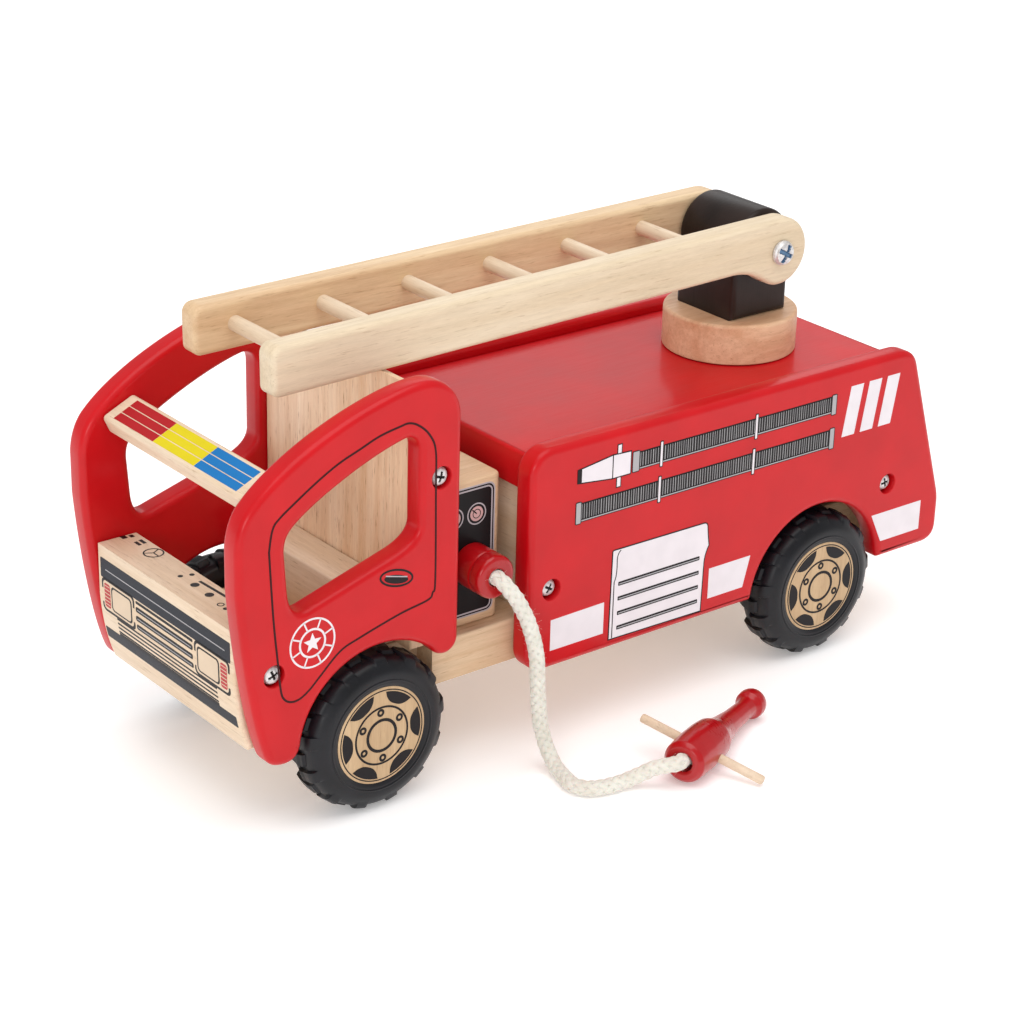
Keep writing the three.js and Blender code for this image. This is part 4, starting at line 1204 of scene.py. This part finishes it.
def strand_ring(i, strand, way, full):
    """A flat strand's cross-section where it passes frame i."""
    point, ahead, *_ = FRAMES[i]
    s = i * ROPE_STEP
    turn = 2 * math.pi * (way * s / BRAID_PITCH + strand / STRANDS)
    wave = math.cos(STRANDS * 2 * math.pi * s / BRAID_PITCH)
    wobble = 0.05 * math.sin(s * 1.9 + strand * 2.1 + way)
    out = outwards(i, turn)
    round_way = outwards(i, turn + math.pi / 2) * way
    flow = (ahead + round_way * (2 * math.pi * BRAID_RADIUS / BRAID_PITCH)).normalized()
    wide = flow.cross(out).normalized()
    centre = point + out * ((BRAID_RADIUS + way * BRAID_WEAVE * wave + wobble) * full)
    return [centre + (wide * (STRAND_WIDTH * math.cos(t)) + out * (STRAND_DEPTH * math.sin(t))) * full
            for t in turns(10)]


def braid(start, end):
    """Eight flat strands, four each way, crossing over and under, round a plain core."""
    solid = Solid()
    reach = [(i, girth(i, start, end)) for i in range(start, end + 1)]
    core = [[FRAMES[i][0] + outwards(i, t) * (CORE_RADIUS * full) for t in turns(16)]
            for i, full in reach]
    solid.rings(core, along=[(i * ROPE_STEP, k / 4) for i, _ in reach for k in range(16)])
    for way in (1, -1):
        for strand in range(STRANDS):
            solid.rings([strand_ring(i, strand, way, full) for i, full in reach],
                        along=[(i * ROPE_STEP, k / 10 * 4 + strand) for i, _ in reach for k in range(10)])
    return solid


def fuzz(solid, start, end, count):
    """Loose cotton fibres standing off the strands."""
    for _ in range(count):
        i = random.randrange(start + 2, end - 2)
        point, ahead, *_ = FRAMES[i]
        out = outwards(i, random.uniform(0, 2 * math.pi))
        lean = ahead * random.uniform(-1, 1) + out * random.uniform(0.25, 0.8)
        lean.normalize()
        length = random.uniform(0.9, 3.4)
        curl = out.cross(ahead) * random.uniform(-0.5, 0.5)
        root = point + out * 2.3
        rings = []
        for t in (0, 0.25, 0.5, 0.75, 1):
            centre = root + lean * (length * t) + curl * (length * t * t)
            width = 0.05 * (1 - 0.6 * t)
            rings.append([centre + outwards(i, angle) * width for angle in turns(3)])
        solid.rings(rings, along=[(k / 4, m / 3) for k in range(5) for m in range(3)])


def nearest(point):
    """The frame of the rope nearest to a point."""
    return min(range(len(FRAMES)), key=lambda i: (FRAMES[i][0] - point).length)


def rope_length(name, start, end, nodes, hinge):
    """A length of rope between two frames, thinner at an end where it runs on inside the next length."""
    rope = braid(start, end)
    fuzz(rope, start, end, int((end - start) * 1.3))
    for p in rope.points:
        p.z = max(p.z, FLOOR_GAP)
    made = rope.piece(name, COTTON, None, *nodes, sharp=80, weld=False)
    middle = nearest(joint(hinge))
    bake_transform(made)


floor_hinge = nearest(joint("hose_sweep"))
rope_length("rope_upper", 0, floor_hinge + OVERLAP,
            ("hose_stub", "hose_drop"), "hose_lift")
rope_length("rope_lower", floor_hinge - OVERLAP, LAST,
            ("hose_floor", "hose_end"), "nozzle_turn")


# ---- studio
FLOOR_HALF = 6.0
CAMERA_PLACE = Vector((0.60368, 0.74703, 0.45347))
CAMERA_AZIMUTH = math.radians(141.45243)
CAMERA_ELEVATION = math.radians(23.46165)
CAMERA_ROLL = math.radians(1.48263)
FOCAL_LENGTH = 94.36


def placed(name, data):
    made = bpy.data.objects.new(name, data)
    bpy.context.scene.collection.objects.link(made)
    return made


def studio_floor():
    mesh = bpy.data.meshes.new("studio_floor")
    corners = box_loop(-FLOOR_HALF, -FLOOR_HALF, FLOOR_HALF, FLOOR_HALF)
    mesh.from_pydata([(p.x, p.y, GROUND * MM) for p in corners], [], [(0, 1, 2, 3)])
    look = Look("studio_floor")
    cloud = look.noise(look.coords(50), 0.004, 2, 0.5)
    pale = look.over(rgb((246, 245, 245)), cloud, 0.0, 1.0, 1.0, (250, 249, 249))
    mesh.materials.append(look.finish(Base_Color=pale, Roughness=0.75, Specular_IOR_Level=0.2,
                                      Emission_Color=rgb((255, 253, 252)), Emission_Strength=0.20))
    placed("studio_floor", mesh)


def soft_light(name, place, aim, width, height, power, colour=(1, 1, 1)):
    lamp = bpy.data.lights.new(name, "AREA")
    lamp.shape = "RECTANGLE"
    lamp.size, lamp.size_y = width, height
    lamp.energy = power
    lamp.color = colour
    made = placed(name, lamp)
    made.location = place
    made.rotation_euler = (Vector(aim) - Vector(place)).to_track_quat("-Z", "Y").to_euler()


def studio_world(ambient, in_reflections, in_camera):
    """White all round, its strength chosen by the kind of ray that meets it."""
    world = bpy.data.worlds.new("studio")
    world.use_nodes = True
    tree = world.node_tree
    sky = tree.nodes["Background"]
    sky.inputs[0].default_value = (1, 1, 1, 1)
    rays = tree.nodes.new("ShaderNodeLightPath")
    glossy, seen = (tree.nodes.new("ShaderNodeMix") for _ in range(2))
    glossy.inputs[2].default_value = ambient
    glossy.inputs[3].default_value = in_reflections
    seen.inputs[3].default_value = in_camera
    for start, end in ((rays.outputs["Is Glossy Ray"], glossy.inputs[0]),
                       (rays.outputs["Is Camera Ray"], seen.inputs[0]),
                       (glossy.outputs[0], seen.inputs[2]), (seen.outputs[0], sky.inputs[1])):
        tree.links.new(start, end)
    bpy.context.scene.world = world


def photo_camera():
    lens = bpy.data.cameras.new("camera")
    lens.sensor_width = 36.0
    lens.lens = FOCAL_LENGTH
    lens.clip_start, lens.clip_end = 0.02, 30
    camera = placed("camera", lens)
    flat = polar(math.cos(CAMERA_ELEVATION), CAMERA_AZIMUTH - math.pi / 2)
    back = Vector((flat.x, flat.y, math.sin(CAMERA_ELEVATION)))
    camera.location = CAMERA_PLACE
    camera.rotation_mode = "QUATERNION"
    camera.rotation_quaternion = (-back).to_track_quat("-Z", "Y") @ Quaternion((0, 0, 1), CAMERA_ROLL)
    bpy.context.scene.camera = camera


studio_floor()
studio_world(ambient=0.86, in_reflections=0.42, in_camera=1.0)
soft_light("key_above", (0.1, 0.25, 1.3), (0, 0, 0), 1.2, 1.2, 9.0, (1.0, 0.99, 0.98))
soft_light("fill_front_left", (1.3, 1.1, 0.55), (0, 0, 0.05), 0.7, 0.6, 5.6, (1.0, 0.99, 0.98))
soft_light("rim_behind", (-0.9, -1.1, 0.8), (0, 0, 0.08), 0.8, 0.6, 2.0)
photo_camera()
bpy.context.scene.view_settings.view_transform = "Standard"

bpy.context.view_layer.update()
